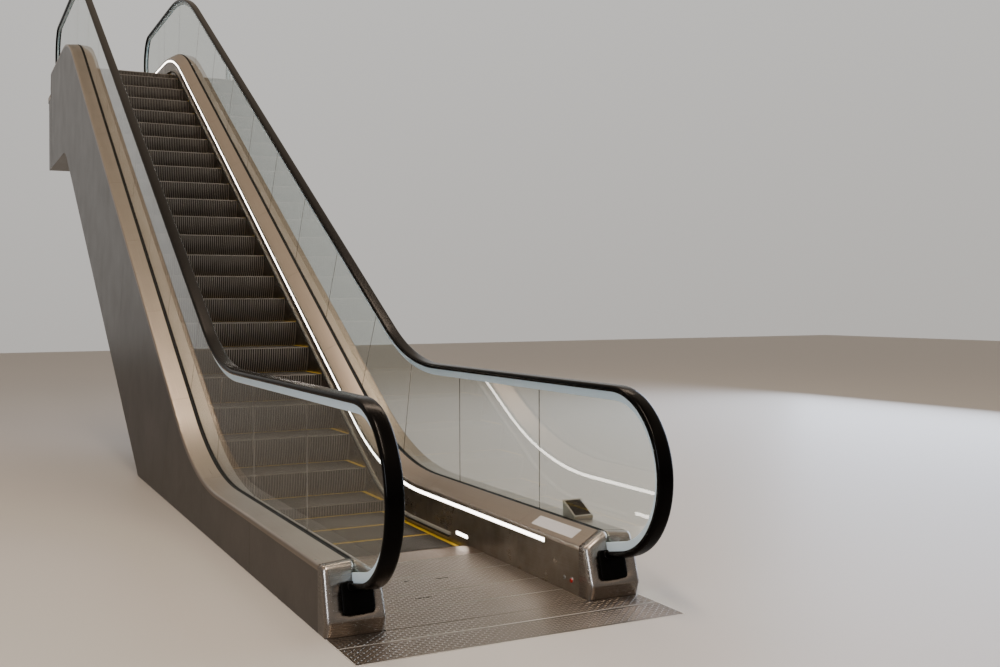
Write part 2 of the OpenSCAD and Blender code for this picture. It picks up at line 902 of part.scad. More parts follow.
module cap_plan(inset) {
    x0 = skirt_x + inset;
    x1 = outer_x - inset;
    r = edge_r - inset;
    y0 = inset - kick_out;
    union() {
        translate([x0, y0 + r])
            square([x1 - x0, cap_l - y0 - r]);
        translate([x0 + r, y0])
            square([x1 - x0 - 2 * r, cap_l - y0]);
        for (x = [x0 + r, x1 - r])
            translate([x, y0 + r])
                circle(r);
    }
}

module cap_block(inset) {
    intersection() {
        plate_x(skirt_x, outer_x)
            cap_profile(inset);
        linear_extrude(floor_z + clamp_h)
            cap_plan(inset);
        translate([0, cap_l, 0])
            rotate([90, 0, 0])
                linear_extrude(cap_l + kick_out + 1)
                    cap_front(inset);
    }
}

module newel_cap() {
    color("silver")
        difference() {
            cap_block(0);
            intersection() {
                cap_block(cap_t);
                box([skirt_x, -kick_out, cap_t], [outer_x, cap_l, rise]);
            }
            box([skirt_x + cap_t, cap_l - cap_t, cap_t],
                [outer_x - cap_t, cap_l + 1, floor_z + outer_lip_h - 2 * cap_t]);
            box([glass_x - inlet_w / 2, -kick_out - 1, floor_z + inlet_low],
                [glass_x + inlet_w / 2, cap_l - cap_t, floor_z + inlet_high]);
            box([glass_x - guide_w / 2 - 2, -kick_out - 1, floor_z + inlet_low],
                [glass_x + guide_w / 2 + 2, cap_l + 1, floor_z + inlet_high + guide_h]);
            box([glass_x - slot_w / 2, -kick_out - 1, floor_z + inlet_low],
                [glass_x + slot_w / 2, cap_l + 1, rise]);
        }
}

module newel_cap_lower_right() { newel_cap(); }
module newel_cap_lower_left() { mirror([1, 0, 0]) newel_cap(); }
module newel_cap_upper_right() { at_upper_end() newel_cap(); }
module newel_cap_upper_left() { at_upper_end() mirror([1, 0, 0]) newel_cap(); }

// Black inlet boxes: collars in the caps that the handrails run into
module handrail_inlets() {
    collar_t = 12;
    wall = 5;
    rail_gap = 2;
    lean = (cap_back + kick_out) / (clamp_h - kick_h);
    face_y = (inlet_low - kick_h) * lean - kick_out;
    color("black")
        at_both_ends()
            for (side = [-1, 1])
                on_side(side)
                    difference() {
                        plate_x(glass_x - inlet_w / 2, glass_x + inlet_w / 2)
                            polygon([[face_y - collar_t, floor_z + inlet_low],
                                     [face_y - collar_t + (inlet_high - inlet_low) * lean, floor_z + inlet_high],
                                     [cap_l - cap_t, floor_z + inlet_high], [cap_l - cap_t, floor_z + inlet_low]]);
                        box([glass_x - inlet_w / 2 + wall, face_y + 50, floor_z + inlet_low + wall],
                            [glass_x + inlet_w / 2 - wall, cap_l, floor_z + inlet_high + 1]);
                        down_slope()
                            straight(rail_reach)
                                translate([glass_x - rail_w / 2 - rail_gap, -rail_gap])
                                    square([rail_w + 2 * rail_gap, inlet_high]);
                    }
}

// Outer cladding, soffit and end wall

module side_cladding() {
    clad_low = -truss_depth;
    clad_high = outer_lip_h - 16;
    color("rosybrown")
        above_ground() {
            lengths(deck_line, clad_cuts)
                translate([clad_x, clad_low])
                    square([sheet_t, clad_high - clad_low]);
            box([clad_x, far_y - cap_l + joint_w, rise + floor_z + clad_low], [outer_x, truss_end_y, rise]);
        }
}

module side_cladding_right() { side_cladding(); }
module side_cladding_left() { mirror([1, 0, 0]) side_cladding(); }

soffit_first = st2(deck_line) + 2 * panel_l;

module soffit() {
    color("gray")
        above_ground()
            lengths(under_line, joints(st2(under_line), st5(under_line) - sheet_t, soffit_first, panel_l))
                translate([-clad_x, -truss_depth])
                    square([2 * clad_x, sheet_t]);
}

module upper_end_wall() {
    color("gray")
        box([-clad_x, truss_end_y - sheet_t, rise + floor_z - truss_depth], [clad_x, truss_end_y, rise]);
}

// Angle below the upper landing's overhang, which rests on the upper floor
module upper_bearing() {
    angle_t = 20;
    angle_h = 140;
    color("slategray")
        plate_x(-outer_x, outer_x)
            polygon([[truss_end_y, rise], [plate_end_y, rise], [plate_end_y, rise - angle_t],
                     [truss_end_y + angle_t, rise - angle_t], [truss_end_y + angle_t, rise - angle_h],
                     [truss_end_y, rise - angle_h]]);
}

// Small fittings

// Oval lamps in the skirts beside the combs
module comb_lamps() {
    lamp_l = 158;
    lamp_h = 20;
    lamp_y = comb_y + 86;
    lamp_z = floor_z + 44;
    color("white")
        at_both_ends()
            for (side = [-1, 1])
                on_side(side)
                    plate_x(skirt_x - 3, skirt_x)
                        union() {
                            translate([lamp_y - (lamp_l - lamp_h) / 2, lamp_z - lamp_h / 2])
                                square([lamp_l - lamp_h, lamp_h]);
                            for (k = [-1, 1])
                                translate([lamp_y + k * (lamp_l - lamp_h) / 2, lamp_z])
                                    circle(lamp_h / 2);
                        }
}

// A key switch and a stop button in the right-hand skirt at each landing
module control_switches() {
    switch_z = floor_z + 58;
    at_both_ends() {
        color("dimgray")
            plate_x(skirt_x - 4, skirt_x)
                translate([237, switch_z])
                    circle(11);
        color("red")
            plate_x(skirt_x - 9, skirt_x)
                translate([164, switch_z])
                    circle(13);
    }
}

// Wedge-shaped signal boxes on the outer decks beside the newels
module signal_boxes() {
    box_w = 106;
    box_l = 120;
    box_h = 78;
    box_y = 372;
    box_x = outer_x - 14 - box_w;
    deck_drop = clamp_h - 2 - outer_lip_h - 12;
    color("dimgray")
        at_both_ends()
            difference() {
                plate_x(box_x, box_x + box_w)
                    polygon([[box_y, floor_z + outer_lip_h], [box_y, floor_z + clamp_h + 12],
                             [box_y + box_l, floor_z + clamp_h + box_h], [box_y + box_l, floor_z + outer_lip_h]]);
                translate([0, box_y - 1, 0])
                    straight(box_l + 2)
                        polygon([[clamp_x1, floor_z], [clamp_x1, floor_z + clamp_h - 2],
                                 [outer_x - 12, floor_z + clamp_h - 2 - deck_drop], [outer_x, floor_z]]);
            }
}

landing_frame_lower();
floor_plates_lower();
comb_plate_lower();
combs_lower();
landing_frame_upper();
floor_plates_upper();
comb_plate_upper();
combs_upper();
steps_lower();
steps_incline();
steps_upper();
step_edge_inserts();
step_axles();
guide_tracks();
cross_beams();
truss_left();
truss_right();
deck_brackets();
skirt_left();
skirt_right();
skirt_brushes();
skirt_lights();
inner_deck_left();
inner_deck_right();
outer_deck_left();
outer_deck_right();
glass_clamps();
glass_left();
glass_right();
handrail_guides();
handrail_left();
handrail_right();
newel_cap_lower_left();
newel_cap_lower_right();
newel_cap_upper_left();
newel_cap_upper_right();
handrail_inlets();
side_cladding_left();
side_cladding_right();
soffit();
upper_end_wall();
upper_bearing();
comb_lamps();
control_switches();
signal_boxes();
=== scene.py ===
"""Looks of an indoor escalator with glass balustrades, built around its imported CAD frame.

Lengths are in metres in the part's own frame: X across, Y up the run, Z up.
"""

import math

import bmesh
import bpy
from mathutils import Matrix, Vector


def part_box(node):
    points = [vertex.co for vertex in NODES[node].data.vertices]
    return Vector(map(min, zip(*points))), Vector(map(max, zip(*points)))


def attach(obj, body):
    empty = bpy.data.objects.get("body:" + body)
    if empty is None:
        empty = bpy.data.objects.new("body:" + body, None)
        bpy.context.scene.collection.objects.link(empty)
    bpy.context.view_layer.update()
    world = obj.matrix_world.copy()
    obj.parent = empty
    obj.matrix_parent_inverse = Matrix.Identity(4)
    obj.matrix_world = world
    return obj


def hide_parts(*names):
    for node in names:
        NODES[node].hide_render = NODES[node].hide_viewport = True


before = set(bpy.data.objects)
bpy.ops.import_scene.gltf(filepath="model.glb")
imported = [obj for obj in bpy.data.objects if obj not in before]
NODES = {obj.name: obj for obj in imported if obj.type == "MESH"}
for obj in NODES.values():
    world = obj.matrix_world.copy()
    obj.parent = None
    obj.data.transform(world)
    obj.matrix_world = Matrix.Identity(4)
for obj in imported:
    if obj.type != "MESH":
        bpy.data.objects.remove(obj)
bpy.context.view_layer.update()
MM = 0.001

# Sizes that the frame gives
PLATE_LOW, PLATE_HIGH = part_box("floor_plates_lower")
FLOOR = PLATE_HIGH.z
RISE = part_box("floor_plates_upper")[1].z - FLOOR
COMB_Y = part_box("comb_plate_lower")[1].y
FAR_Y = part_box("newel_cap_upper_right")[1].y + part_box("newel_cap_lower_right")[0].y
SKIRT_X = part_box("skirt_right")[0].x
OUTER_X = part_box("side_cladding_right")[1].x
GLASS_X = (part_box("glass_right")[0].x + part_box("glass_right")[1].x) / 2
RAIL_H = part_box("handrail_right")[1].z - FLOOR - RISE
UNDER_END_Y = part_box("upper_end_wall")[1].y
CAP_BACK_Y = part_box("newel_cap_lower_right")[1].y

# Run of the escalator
SLOPE = math.radians(30)
STEP_PITCH = 0.4
LEVEL_L = 1.272
BEND_LAG = 0.15
WALK_BREAK_Y = COMB_Y + LEVEL_L
DECK_LOW_R, DECK_UP_R, NOSING_R = 2.658, 2.0, 1.5
FIRST_STEP_BACK, TREAD_DROP = 0.281, 0.025
SHORT_PLATE_L = 0.25
COMB_BACK_Y = COMB_Y - 0.206
PANEL_L, PANE_L, FIRST_PANE_L = 1.2, 1.0, 0.703
SHEET = 3 * MM
JOINT = 2 * MM

# Balustrade heights above the deck line
LIGHT_LOW, LIGHT_TOP = 0.186, 0.214
LIP_TOP = 0.236
DECK_TOP = 0.3
CLAMP_IN, CLAMP_OUT = GLASS_X - 0.019, GLASS_X + 0.019
GLASS_LOW, GLASS_TOP = 0.254, 0.946
GUIDE_LOW, GUIDE_TOP = 0.928, 0.989
LIGHT_END_Y = 0.434
CLAD_TOP, UNDER_D = 0.262, -1.07
SKIRT_LOW = -0.26

# Newel and handrail, which slopes down from the newel to its inlet
NEWEL_R = 0.397
DIP = math.radians(12)
NEWEL_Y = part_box("handrail_right")[0].y + NEWEL_R
NEWEL_Z = FLOOR + RAIL_H - NEWEL_R
RETURN_D = 0.11


# Shapes

class Shape:
    """Points, faces and grain places of a piece while it is made."""

    def __init__(self):
        self.points, self.faces, self.grain, self.finish = [], [], [], []

    def face(self, points, grain=None, finish=0):
        first = len(self.points)
        self.points += [tuple(p) for p in points]
        self.faces.append(list(range(first, first + len(points))))
        self.grain.append(grain or [(p[1], p[0] + p[2]) for p in points])
        self.finish.append(finish)

    def grid(self, rows, grain, finish=0, wrap=False, loop=False, keep=None):
        """Joins rows of points with four-sided faces; wrap closes each row and loop the rows."""
        first, n, m = len(self.points), len(rows), len(rows[0])
        for row in rows:
            self.points += [tuple(p) for p in row]
        for i in range(n if loop else n - 1):
            for j in range(m if wrap else m - 1):
                if keep and not keep(i, j):
                    continue
                a, b = i * m, (i + 1) % n * m
                k = (j + 1) % m
                self.faces.append([first + a + j, first + a + k, first + b + k, first + b + j])
                next_i, next_j = min(i + 1, len(grain) - 1), min(j + 1, len(grain[0]) - 1)
                (u0, v0), (u1, v1) = grain[i][j], grain[next_i][next_j]
                self.grain.append([(u0, v0), (u0, v1), (u1, v1), (u1, v0)])
                self.finish.append(finish(i, j) if callable(finish) else finish)

    def add(self, other, matrix=None):
        """Adds a copy of another shape, moved by a matrix."""
        first = len(self.points)
        flip = matrix is not None and matrix.determinant() < 0
        self.points += [tuple(matrix @ Vector(p)) if matrix else p for p in other.points]
        for face, grain in zip(other.faces, other.grain):
            order = list(reversed(range(len(face)))) if flip else range(len(face))
            self.faces.append([face[k] + first for k in order])
            self.grain.append([grain[k] for k in order])
        self.finish += other.finish

    def moved(self, matrix):
        made = Shape()
        made.add(self, matrix)
        return made


LEFT = Matrix.Scale(-1, 4, (1, 0, 0))
UPPER_END = Matrix.Translation((0, FAR_Y, RISE)) @ Matrix.Scale(-1, 4, (0, 1, 0))


def both_sides(shape):
    shape.add(shape.moved(LEFT))
    return shape


def both_ends(shape):
    shape.add(shape.moved(UPPER_END))
    return shape


def piece(name, shape, finishes, slot, replaces=(), bevel=0, solid=0, smooth=32):
    """Makes an object of a shape, which rides on the body and may stand for CAD nodes."""
    mesh = bpy.data.meshes.new(name)
    mesh.from_pydata(shape.points, [], shape.faces)
    layer = mesh.uv_layers.new(name="grain")
    layer.uv.foreach_set("vector", [c for grain in shape.grain for place in grain for c in place])
    for finish in finishes:
        mesh.materials.append(finish)
    mesh.polygons.foreach_set("material_index", shape.finish)
    work = bmesh.new()
    work.from_mesh(mesh)
    bmesh.ops.remove_doubles(work, verts=work.verts, dist=0.00002)
    bmesh.ops.recalc_face_normals(work, faces=work.faces)
    work.to_mesh(mesh)
    work.free()
    mesh.polygons.foreach_set("use_smooth", [True] * len(mesh.polygons))
    mesh.set_sharp_from_angle(angle=math.radians(smooth))
    made = bpy.data.objects.new(name, mesh)
    bpy.context.scene.collection.objects.link(made)
    if solid:
        wall = made.modifiers.new("sheet", "SOLIDIFY")
        wall.thickness, wall.offset = solid, -1
    if bevel:
        edge = made.modifiers.new("eased_edges", "BEVEL")
        edge.width, edge.segments, edge.limit_method = bevel, 2, "ANGLE"
        edge.angle_limit = math.radians(35)
        edge.harden_normals = True
    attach(made, "root")
    if replaces:
        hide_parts(*replaces)
    return made


def left_and_right(name, shape, finishes, slot, node, **how):
    """A right-hand piece and its mirror image, each for its own CAD node."""
    for side, matrix in (("right", Matrix()), ("left", LEFT)):
        piece(f"{name}_{side}", shape.moved(matrix), finishes, slot, [f"{node}_{side}"], **how)


def walked(points):
    """Length along a row of points, at each of them."""
    found = [0.0]
    for a, b in zip(points, points[1:]):
        found.append(found[-1] + math.dist(a, b))
    return found


def block(shape, low, high, finish=0):
    """A box between two corners."""
    ends = low, high
    for axis in range(3):
        b, c = [k for k in range(3) if k != axis]
        for end in ends:
            corners = []
            for i, j in ((0, 0), (1, 0), (1, 1), (0, 1)):
                corner = list(end)
                corner[b], corner[c] = ends[i][b], ends[j][c]
                corners.append(corner)
            shape.face(corners, [(p[b], p[c]) for p in corners], finish)


def plate(shape, outline, x0, x1, finish=0):
    """A side outline in Y and Z, as thick as from x0 to x1."""
    for x in (x0, x1):
        shape.face([(x, y, z) for y, z in outline], list(outline), finish)
    ring = outline + outline[:1]
    walk = walked(ring)
    for (y, z), (y2, z2), a, b in zip(ring, ring[1:], walk, walk[1:]):
        shape.face([(x0, y, z), (x1, y, z), (x1, y2, z2), (x0, y2, z2)],
                   [(a, x0), (a, x1), (b, x1), (b, x0)], finish)


def rounded(corners, reach, n=3):
    """The outline with each corner eased by a short curve that starts at most reach from it."""
    out = []
    for k, corner in enumerate(corners):
        v = Vector(corner)
        before, after = Vector(corners[k - 1]) - v, Vector(corners[(k + 1) % len(corners)]) - v
        a = v + before.normalized() * min(reach, before.length * 0.48)
        b = v + after.normalized() * min(reach, after.length * 0.48)
        for i in range(n + 1):
            t = i / n
            out.append(tuple(a * (1 - t) ** 2 + v * 2 * t * (1 - t) + b * t * t))
    return out


class Line:
    """The bent line that sections follow up the run; a station is the length along it."""

    def __init__(self, start_y, break_y, z, low_r, up_r, end_y):
        low_t, up_t = low_r * math.tan(SLOPE / 2), up_r * math.tan(SLOPE / 2)
        self.start_y, self.z, self.low_r, self.up_r = start_y, z, low_r, up_r
        top_y = break_y + RISE / math.tan(SLOPE)
        self.s1 = break_y - low_t - start_y
        self.s2 = self.s1 + low_r * SLOPE
        self.s3 = self.s2 + RISE / math.sin(SLOPE) - low_t - up_t
        self.s4 = self.s3 + up_r * SLOPE
        self.up_y = top_y + up_t
        self.s5 = self.s4 + end_y - self.up_y
        self.low_end = break_y + low_t * math.cos(SLOPE), z + low_t * math.sin(SLOPE)

    def at(self, s):
        """(y, z, heading) at a station."""
        if s <= self.s1:
            return self.start_y + s, self.z, 0.0
        if s <= self.s2:
            a = (s - self.s1) / self.low_r
            y = self.start_y + self.s1 + self.low_r * math.sin(a)
            return y, self.z + self.low_r * (1 - math.cos(a)), a
        if s <= self.s3:
            along, (y, z) = s - self.s2, self.low_end
            return y + along * math.cos(SLOPE), z + along * math.sin(SLOPE), SLOPE
        if s <= self.s4:
            a = SLOPE - (s - self.s3) / self.up_r
            z = self.z + RISE - self.up_r * (1 - math.cos(a))
            return self.up_y - self.up_r * math.sin(a), z, a
        return self.up_y + s - self.s4, self.z + RISE, 0.0

    def frames(self, a, b, step=0.5, turn=math.radians(2)):
        """Section places from station a to b: (y, z, outward y, outward z, station)."""
        ends = [a] + [s for s in (self.s1, self.s2, self.s3, self.s4) if a < s < b] + [b]
        stations = [a]
        for lo, hi in zip(ends, ends[1:]):
            bend = abs(self.at(hi)[2] - self.at(lo)[2])
            n = max(1, math.ceil(bend / turn), math.ceil((hi - lo) / step))
            stations += [lo + (hi - lo) * k / n for k in range(1, n + 1)]
        found = []
        for s in stations:
            y, z, heading = self.at(s)
            found.append((y, z, -math.sin(heading), math.cos(heading), s))
        return found


def sweep(shape, section, frames, finish=0, loop=False, above_ground=False):
    """Draws a closed section, given as (x, height), at each frame and joins them."""
    reach = walked(section + section[:1])
    rows, grain = [], []
    for y, z, ny, nz, s in frames:
        lowest = -z / nz if above_ground else -9
        rows.append([(x, y + max(d, lowest) * ny, z + max(d, lowest) * nz) for x, d in section])
        grain.append([(s, v) for v in reach])
    if loop:
        grain.append([(frames[-1][4] + 0.1, v) for v in reach])
    shape.grid(rows, grain, finish, wrap=True, loop=loop)
    if not loop:
        for row in (rows[0], rows[-1]):
            shape.face(row, [(p[1], p[2]) for p in row], finish)


def joints(a, b, first, pitch):
    """Stations of the joints from a to b, counted from a first joint."""
    found, s = [a], first
    while s <= b - pitch / 4:
        if s > a + pitch / 4:
            found.append(s)
        s += pitch
    return found + [b]


def panels(shape, line, section, cuts, step=0.5, **how):
    """Separate lengths of one section, with open joints between them."""
    for k in range(len(cuts) - 1):
        a = cuts[k] + (JOINT / 2 if k else 0)
        b = cuts[k + 1] - (JOINT / 2 if k < len(cuts) - 2 else 0)
        sweep(shape, section, line.frames(a, b, step), **how)


deck = Line(NEWEL_Y, WALK_BREAK_Y + BEND_LAG, FLOOR, DECK_LOW_R, DECK_UP_R, FAR_Y - NEWEL_Y)
nosing = Line(COMB_Y - FIRST_STEP_BACK, WALK_BREAK_Y - TREAD_DROP / math.tan(SLOPE), FLOOR - TREAD_DROP,
              NOSING_R, NOSING_R, FAR_Y - COMB_Y)
CAP_S = CAP_BACK_Y - NEWEL_Y
END_S = deck.s5 - CAP_S
# A deck joint low on the incline, from which the panels are counted; the cladding's are offset.
INCLINE_JOINT = deck.s2 + 0.892
DECK_CUTS = joints(CAP_S, END_S, INCLINE_JOINT - 3 * PANEL_L, PANEL_L)
CLAD_CUTS = joints(CAP_S, END_S, INCLINE_JOINT - 2.55 * PANEL_L, PANEL_L)
PANE_FIRST = FIRST_PANE_L - NEWEL_Y
PANE_CUTS = joints(PANE_FIRST, deck.s5 - PANE_FIRST, PANE_FIRST, PANE_L)


# Finishes

def colour(code):
    """Linear colour of an sRGB hex code."""
    parts = [int(code[k:k + 2], 16) / 255 for k in (1, 3, 5)]
    return tuple(c / 12.92 if c <= 0.04045 else ((c + 0.055) / 1.055) ** 2.4 for c in parts) + (1.0,)


def add_node(tree, kind, inputs=None, ramp=None, **settings):
    """Adds a node. Inputs are values or sockets to link, and ramp lists a colour ramp's stops."""
    made = tree.nodes.new("ShaderNode" + kind)
    for key, value in settings.items():
        setattr(made, key, value)
    for key, value in (inputs or {}).items():
        if isinstance(value, bpy.types.NodeSocket):
            tree.links.new(value, made.inputs[key])
        else:
            made.inputs[key].default_value = value
    if ramp:
        stops = made.color_ramp.elements
        while len(stops) < len(ramp):
            stops.new(0.5)
        for stop, (at, code) in zip(stops, ramp):
            stop.position, stop.color = at, colour(code)
    return made


def new_finish(name):
    made = bpy.data.materials.new(name)
    made.use_nodes = True
    made.node_tree.nodes.clear()
    return made, made.node_tree


def surface(name, base, marked, rough, rough_change, grain, bump, on_grain=False,
            cloud=3.0, cloud_amount=0.35, **shader):
    """A finish whose colour and roughness follow a stretched fine grain and a broad cloud.

    grain is the grain's size in millimetres along each axis, and bump its height in millimetres.
    """
    made, tree = new_finish(name)
    place = add_node(tree, "TexCoord").outputs["Object"]
    where = add_node(tree, "UVMap", uv_map="grain").outputs["UV"] if on_grain else place
    scale = [1000 / g for g in grain]
    stretched = add_node(tree, "Mapping", {"Vector": where, "Scale": scale}).outputs["Vector"]
    fine = add_node(tree, "TexNoise", {"Vector": stretched, "Scale": 1.0, "Detail": 3.0}).outputs["Fac"]
    broad = add_node(tree, "TexNoise", {"Vector": place, "Scale": cloud, "Detail": 4.0}).outputs["Fac"]
    share = add_node(tree, "Mix", {0: cloud_amount, 2: fine, 3: broad}).outputs[0]
    spread = add_node(tree, "MapRange", {0: share, 1: 0.3, 2: 0.7}).outputs[0]
    tint = add_node(tree, "Mix", {0: spread, 6: colour(base), 7: colour(marked)},
                    data_type="RGBA").outputs[2]
    gloss = add_node(tree, "MapRange", {0: spread, 3: rough, 4: rough + rough_change}).outputs[0]
    relief = add_node(tree, "Bump", {"Height": fine, "Distance": bump * MM, "Strength": 1.0}).outputs[0]
    shown = {"Base Color": tint, "Roughness": gloss, "Normal": relief, **shader}
    body = add_node(tree, "BsdfPrincipled", shown)
    add_node(tree, "OutputMaterial", {"Surface": body.outputs[0]})
    return made


# Stainless sheet, brushed along the run: soft streaks stretch every highlight along the panels.
# The real scratches are 0.1 mm apart and are drawn 2 mm apart so that they show.
DECK_STEEL = surface(
    "brushed_stainless_deck", "#C6BBAF", "#B3A89C", 0.27, 0.08, (400, 2, 50), 0.004,
    on_grain=True, Metallic=1.0)
SKIRT_STEEL = surface(
    "brushed_stainless_skirt", "#AFA599", "#71695F", 0.24, 0.14, (400, 2, 50), 0.004,
    on_grain=True, cloud=5.0, cloud_amount=0.7, Metallic=1.0)
CLADDING_STEEL = surface(
    "brushed_stainless_cladding", "#8F8C89", "#7B7876", 0.3, 0.1, (2, 300, 50), 0.004,
    on_grain=True, Metallic=1.0)
CAP_STEEL = surface(
    "brushed_stainless_cap", "#B5AFAA", "#A29C96", 0.25, 0.05, (2, 300, 50), 0.0006,
    on_grain=True, Metallic=1.0)
# Die-cast aluminium treads: grey crests scuffed bright by shoes; the grooves between them are painted near
# black as painted shade.
TREAD_CREST = surface(
    "cast_aluminium_tread_crest", "#5B5752", "#6E6A65", 0.42, 0.2, (60, 60, 60), 0.05, Metallic=0.6)
TREAD_GROOVE_SHADE = surface(
    "cast_aluminium_groove_painted_shade", "#24211F", "#302D2A", 0.6, 0.2, (20, 20, 20), 0.1, Metallic=0.3)
NOSING = surface(
    "scuffed_aluminium_nosing", "#857D74", "#9C948B", 0.4, 0.15, (60, 20, 20), 0.05, Metallic=0.8)
RISER_CREST = surface(
    "cast_aluminium_riser_crest", "#6B645D", "#7C746C", 0.4, 0.2, (80, 80, 80), 0.05, Metallic=0.4)
# Riser grooves near black: painted shade between the ribs.
RISER_GROOVE_SHADE = surface("riser_groove_painted_shade", "#0C0A09", "#161311", 0.7, 0.2, (20, 20, 20), 0.1)
# Yellow moulded polyurethane: even and slightly glossy, with scuffs.
EDGE_YELLOW = surface("yellow_polyurethane", "#E0BC00", "#C4A000", 0.4, 0.2, (30, 30, 30), 0.05)
# Extruded aluminium, natural anodised: pale and even, with a fine drawn grain.
ANODISED = surface("anodised_aluminium", "#D3CFC9", "#BFBBB4", 0.3, 0.12, (2, 200, 2), 0.02, Metallic=1.0)
# Trim ribs of the landings: satin aluminium, worn bright.
TRIM = surface("satin_aluminium_trim", "#F2EEE8", "#E2DED8", 0.42, 0.1, (40, 40, 40), 0.01, Metallic=0.5)
COMB_METAL = surface("cast_aluminium_comb", "#8E7B6C", "#776759", 0.28, 0.16, (4, 60, 4), 0.02, Metallic=1.0)
# Etched stainless floor plate: ground worn dull, raised bars polished by soles.
PLATE_GROUND = surface(
    "etched_stainless_ground", "#857B72", "#746B63", 0.36, 0.1, (15, 15, 15), 0.03, Metallic=1.0)
PLATE_BAR = surface(
    "polished_stainless_bar", "#A3998F", "#8F867C", 0.28, 0.1, (25, 25, 25), 0.02, Metallic=1.0)
# Handrail: black polyurethane rubber over fabric, smooth and softly glossy from hands.
RAIL_RUBBER = surface(
    "black_handrail_rubber", "#020202", "#040303", 0.2, 0.03, (2000, 60, 50), 0.0,
    on_grain=True, **{"Specular IOR Level": 0.11})
# Powder-coated guide, pale grey blue and satin.
GUIDE_COAT = surface("powder_coated_guide", "#DDF0FA", "#D2E8F4", 0.3, 0.1, (3, 3, 3), 0.02)
# Black rubber gasket and black ABS inlet: dark, with a weak sheen. The gasket finish also darkens the lifting
# slots and the key slot as painted shade.
GASKET_AND_HOLE_SHADE = surface(
    "black_rubber_gasket_and_painted_hole_shade", "#060505", "#0C0B0B", 0.5, 0.2, (5, 5, 5), 0.03, **{"Specular IOR Level": 0.25})
INLET_ABS = surface(
    "black_moulded_abs", "#020202", "#040404", 0.4, 0.15, (2, 2, 2), 0.02, **{"Specular IOR Level": 0.08})
# Brush holder in grey aluminium, and nylon bristles 0.3 mm thick drawn 1.5 mm apart.
HOLDER = surface("extruded_brush_holder", "#B5B1A8", "#98948B", 0.4, 0.15, (5, 5, 5), 0.02, Metallic=0.8)
BRISTLES = surface(
    "black_nylon_bristles", "#040404", "#181614", 0.55, 0.2, (1.5, 40, 40), 0.3,
    on_grain=True, cloud_amount=0.1)
# Hot-dip galvanised and painted steel, for the inside and the underside.
GALVANISED = surface("galvanised_steel", "#8D9092", "#7B7E81", 0.4, 0.2, (12, 12, 12), 0.03, Metallic=0.85)
PAINTED = surface("painted_steel_truss", "#3E4346", "#33383B", 0.5, 0.15, (4, 4, 4), 0.05)
SOFFIT_PAINT = surface("painted_soffit_panel", "#9A9894", "#8E8C88", 0.45, 0.1, (4, 4, 4), 0.03)
BRIGHT_STEEL = surface("turned_steel", "#A8A8A8", "#8F8F8F", 0.28, 0.15, (2, 60, 60), 0.02, Metallic=1.0)
# Stop button: red moulded plastic, glossy.
RED_ABS = surface("red_moulded_abs", "#B81E14", "#A2180F", 0.25, 0.1, (3, 3, 3), 0.02)
# Dark glass front of the signal box.
SCREEN = surface(
    "dark_display_glass", "#16100F", "#1D1614", 0.08, 0.05, (50, 50, 50), 0.0,
    **{"Coat Weight": 0.5, "Coat Roughness": 0.03})
# Plain label stock: matt white film.
LABEL_FILM = surface("matt_label_film", "#DAD9DE", "#D2D1D6", 0.5, 0.1, (8, 8, 8), 0.01)


def clear_glass():
    """Toughened float glass: clear with a faint grey green, and mirror-like at low angles."""
    made, tree = new_finish("toughened_clear_glass")
    tint = colour("#EEF4F0")
    pane = add_node(tree, "BsdfPrincipled", {"Base Color": tint, "Roughness": 0.0, "IOR": 1.5,
                                             "Transmission Weight": 1.0})
    # Lamps light through the panes without caustic noise.
    bare = add_node(tree, "BsdfTransparent", {"Color": tint})
    rays = add_node(tree, "LightPath").outputs
    unseen = add_node(tree, "Math", {0: rays["Is Shadow Ray"], 1: rays["Is Diffuse Ray"]},
                      operation="MAXIMUM")
    both = add_node(tree, "MixShader", {0: unseen.outputs[0], 1: pane.outputs[0], 2: bare.outputs[0]})
    add_node(tree, "OutputMaterial", {"Surface": both.outputs[0]})
    return made


def diffuser():
    """Opal acrylic over light-emitting diodes: even white, slightly brighter at each diode."""
    diode_pitch = 33 * MM
    made, tree = new_finish("lit_opal_acrylic")
    where = add_node(tree, "UVMap", uv_map="grain").outputs["UV"]
    along = add_node(tree, "SeparateXYZ", {0: where}).outputs[0]
    turns = add_node(tree, "Math", {0: along, 1: math.tau / diode_pitch}, operation="MULTIPLY").outputs[0]
    wave = add_node(tree, "Math", {0: turns}, operation="SINE").outputs[0]
    power = add_node(tree, "MapRange", {0: wave, 1: -1.0, 2: 1.0, 3: 9.0, 4: 12.0}).outputs[0]
    body = add_node(tree, "BsdfPrincipled", {"Base Color": colour("#F4F2EE"), "Roughness": 0.4,
                                             "Emission Color": colour("#FFF6EC"), "Emission Strength": power})
    add_node(tree, "OutputMaterial", {"Surface": body.outputs[0]})
    return made


GLASS = clear_glass()
LIT = diffuser()


# Handrails

def newel_turns(n):
    """Directions round the lower newel, from the top to where the rail slopes down behind it."""
    return [math.pi / 2 + (math.pi - DIP) * k / n for k in range(n + 1)]


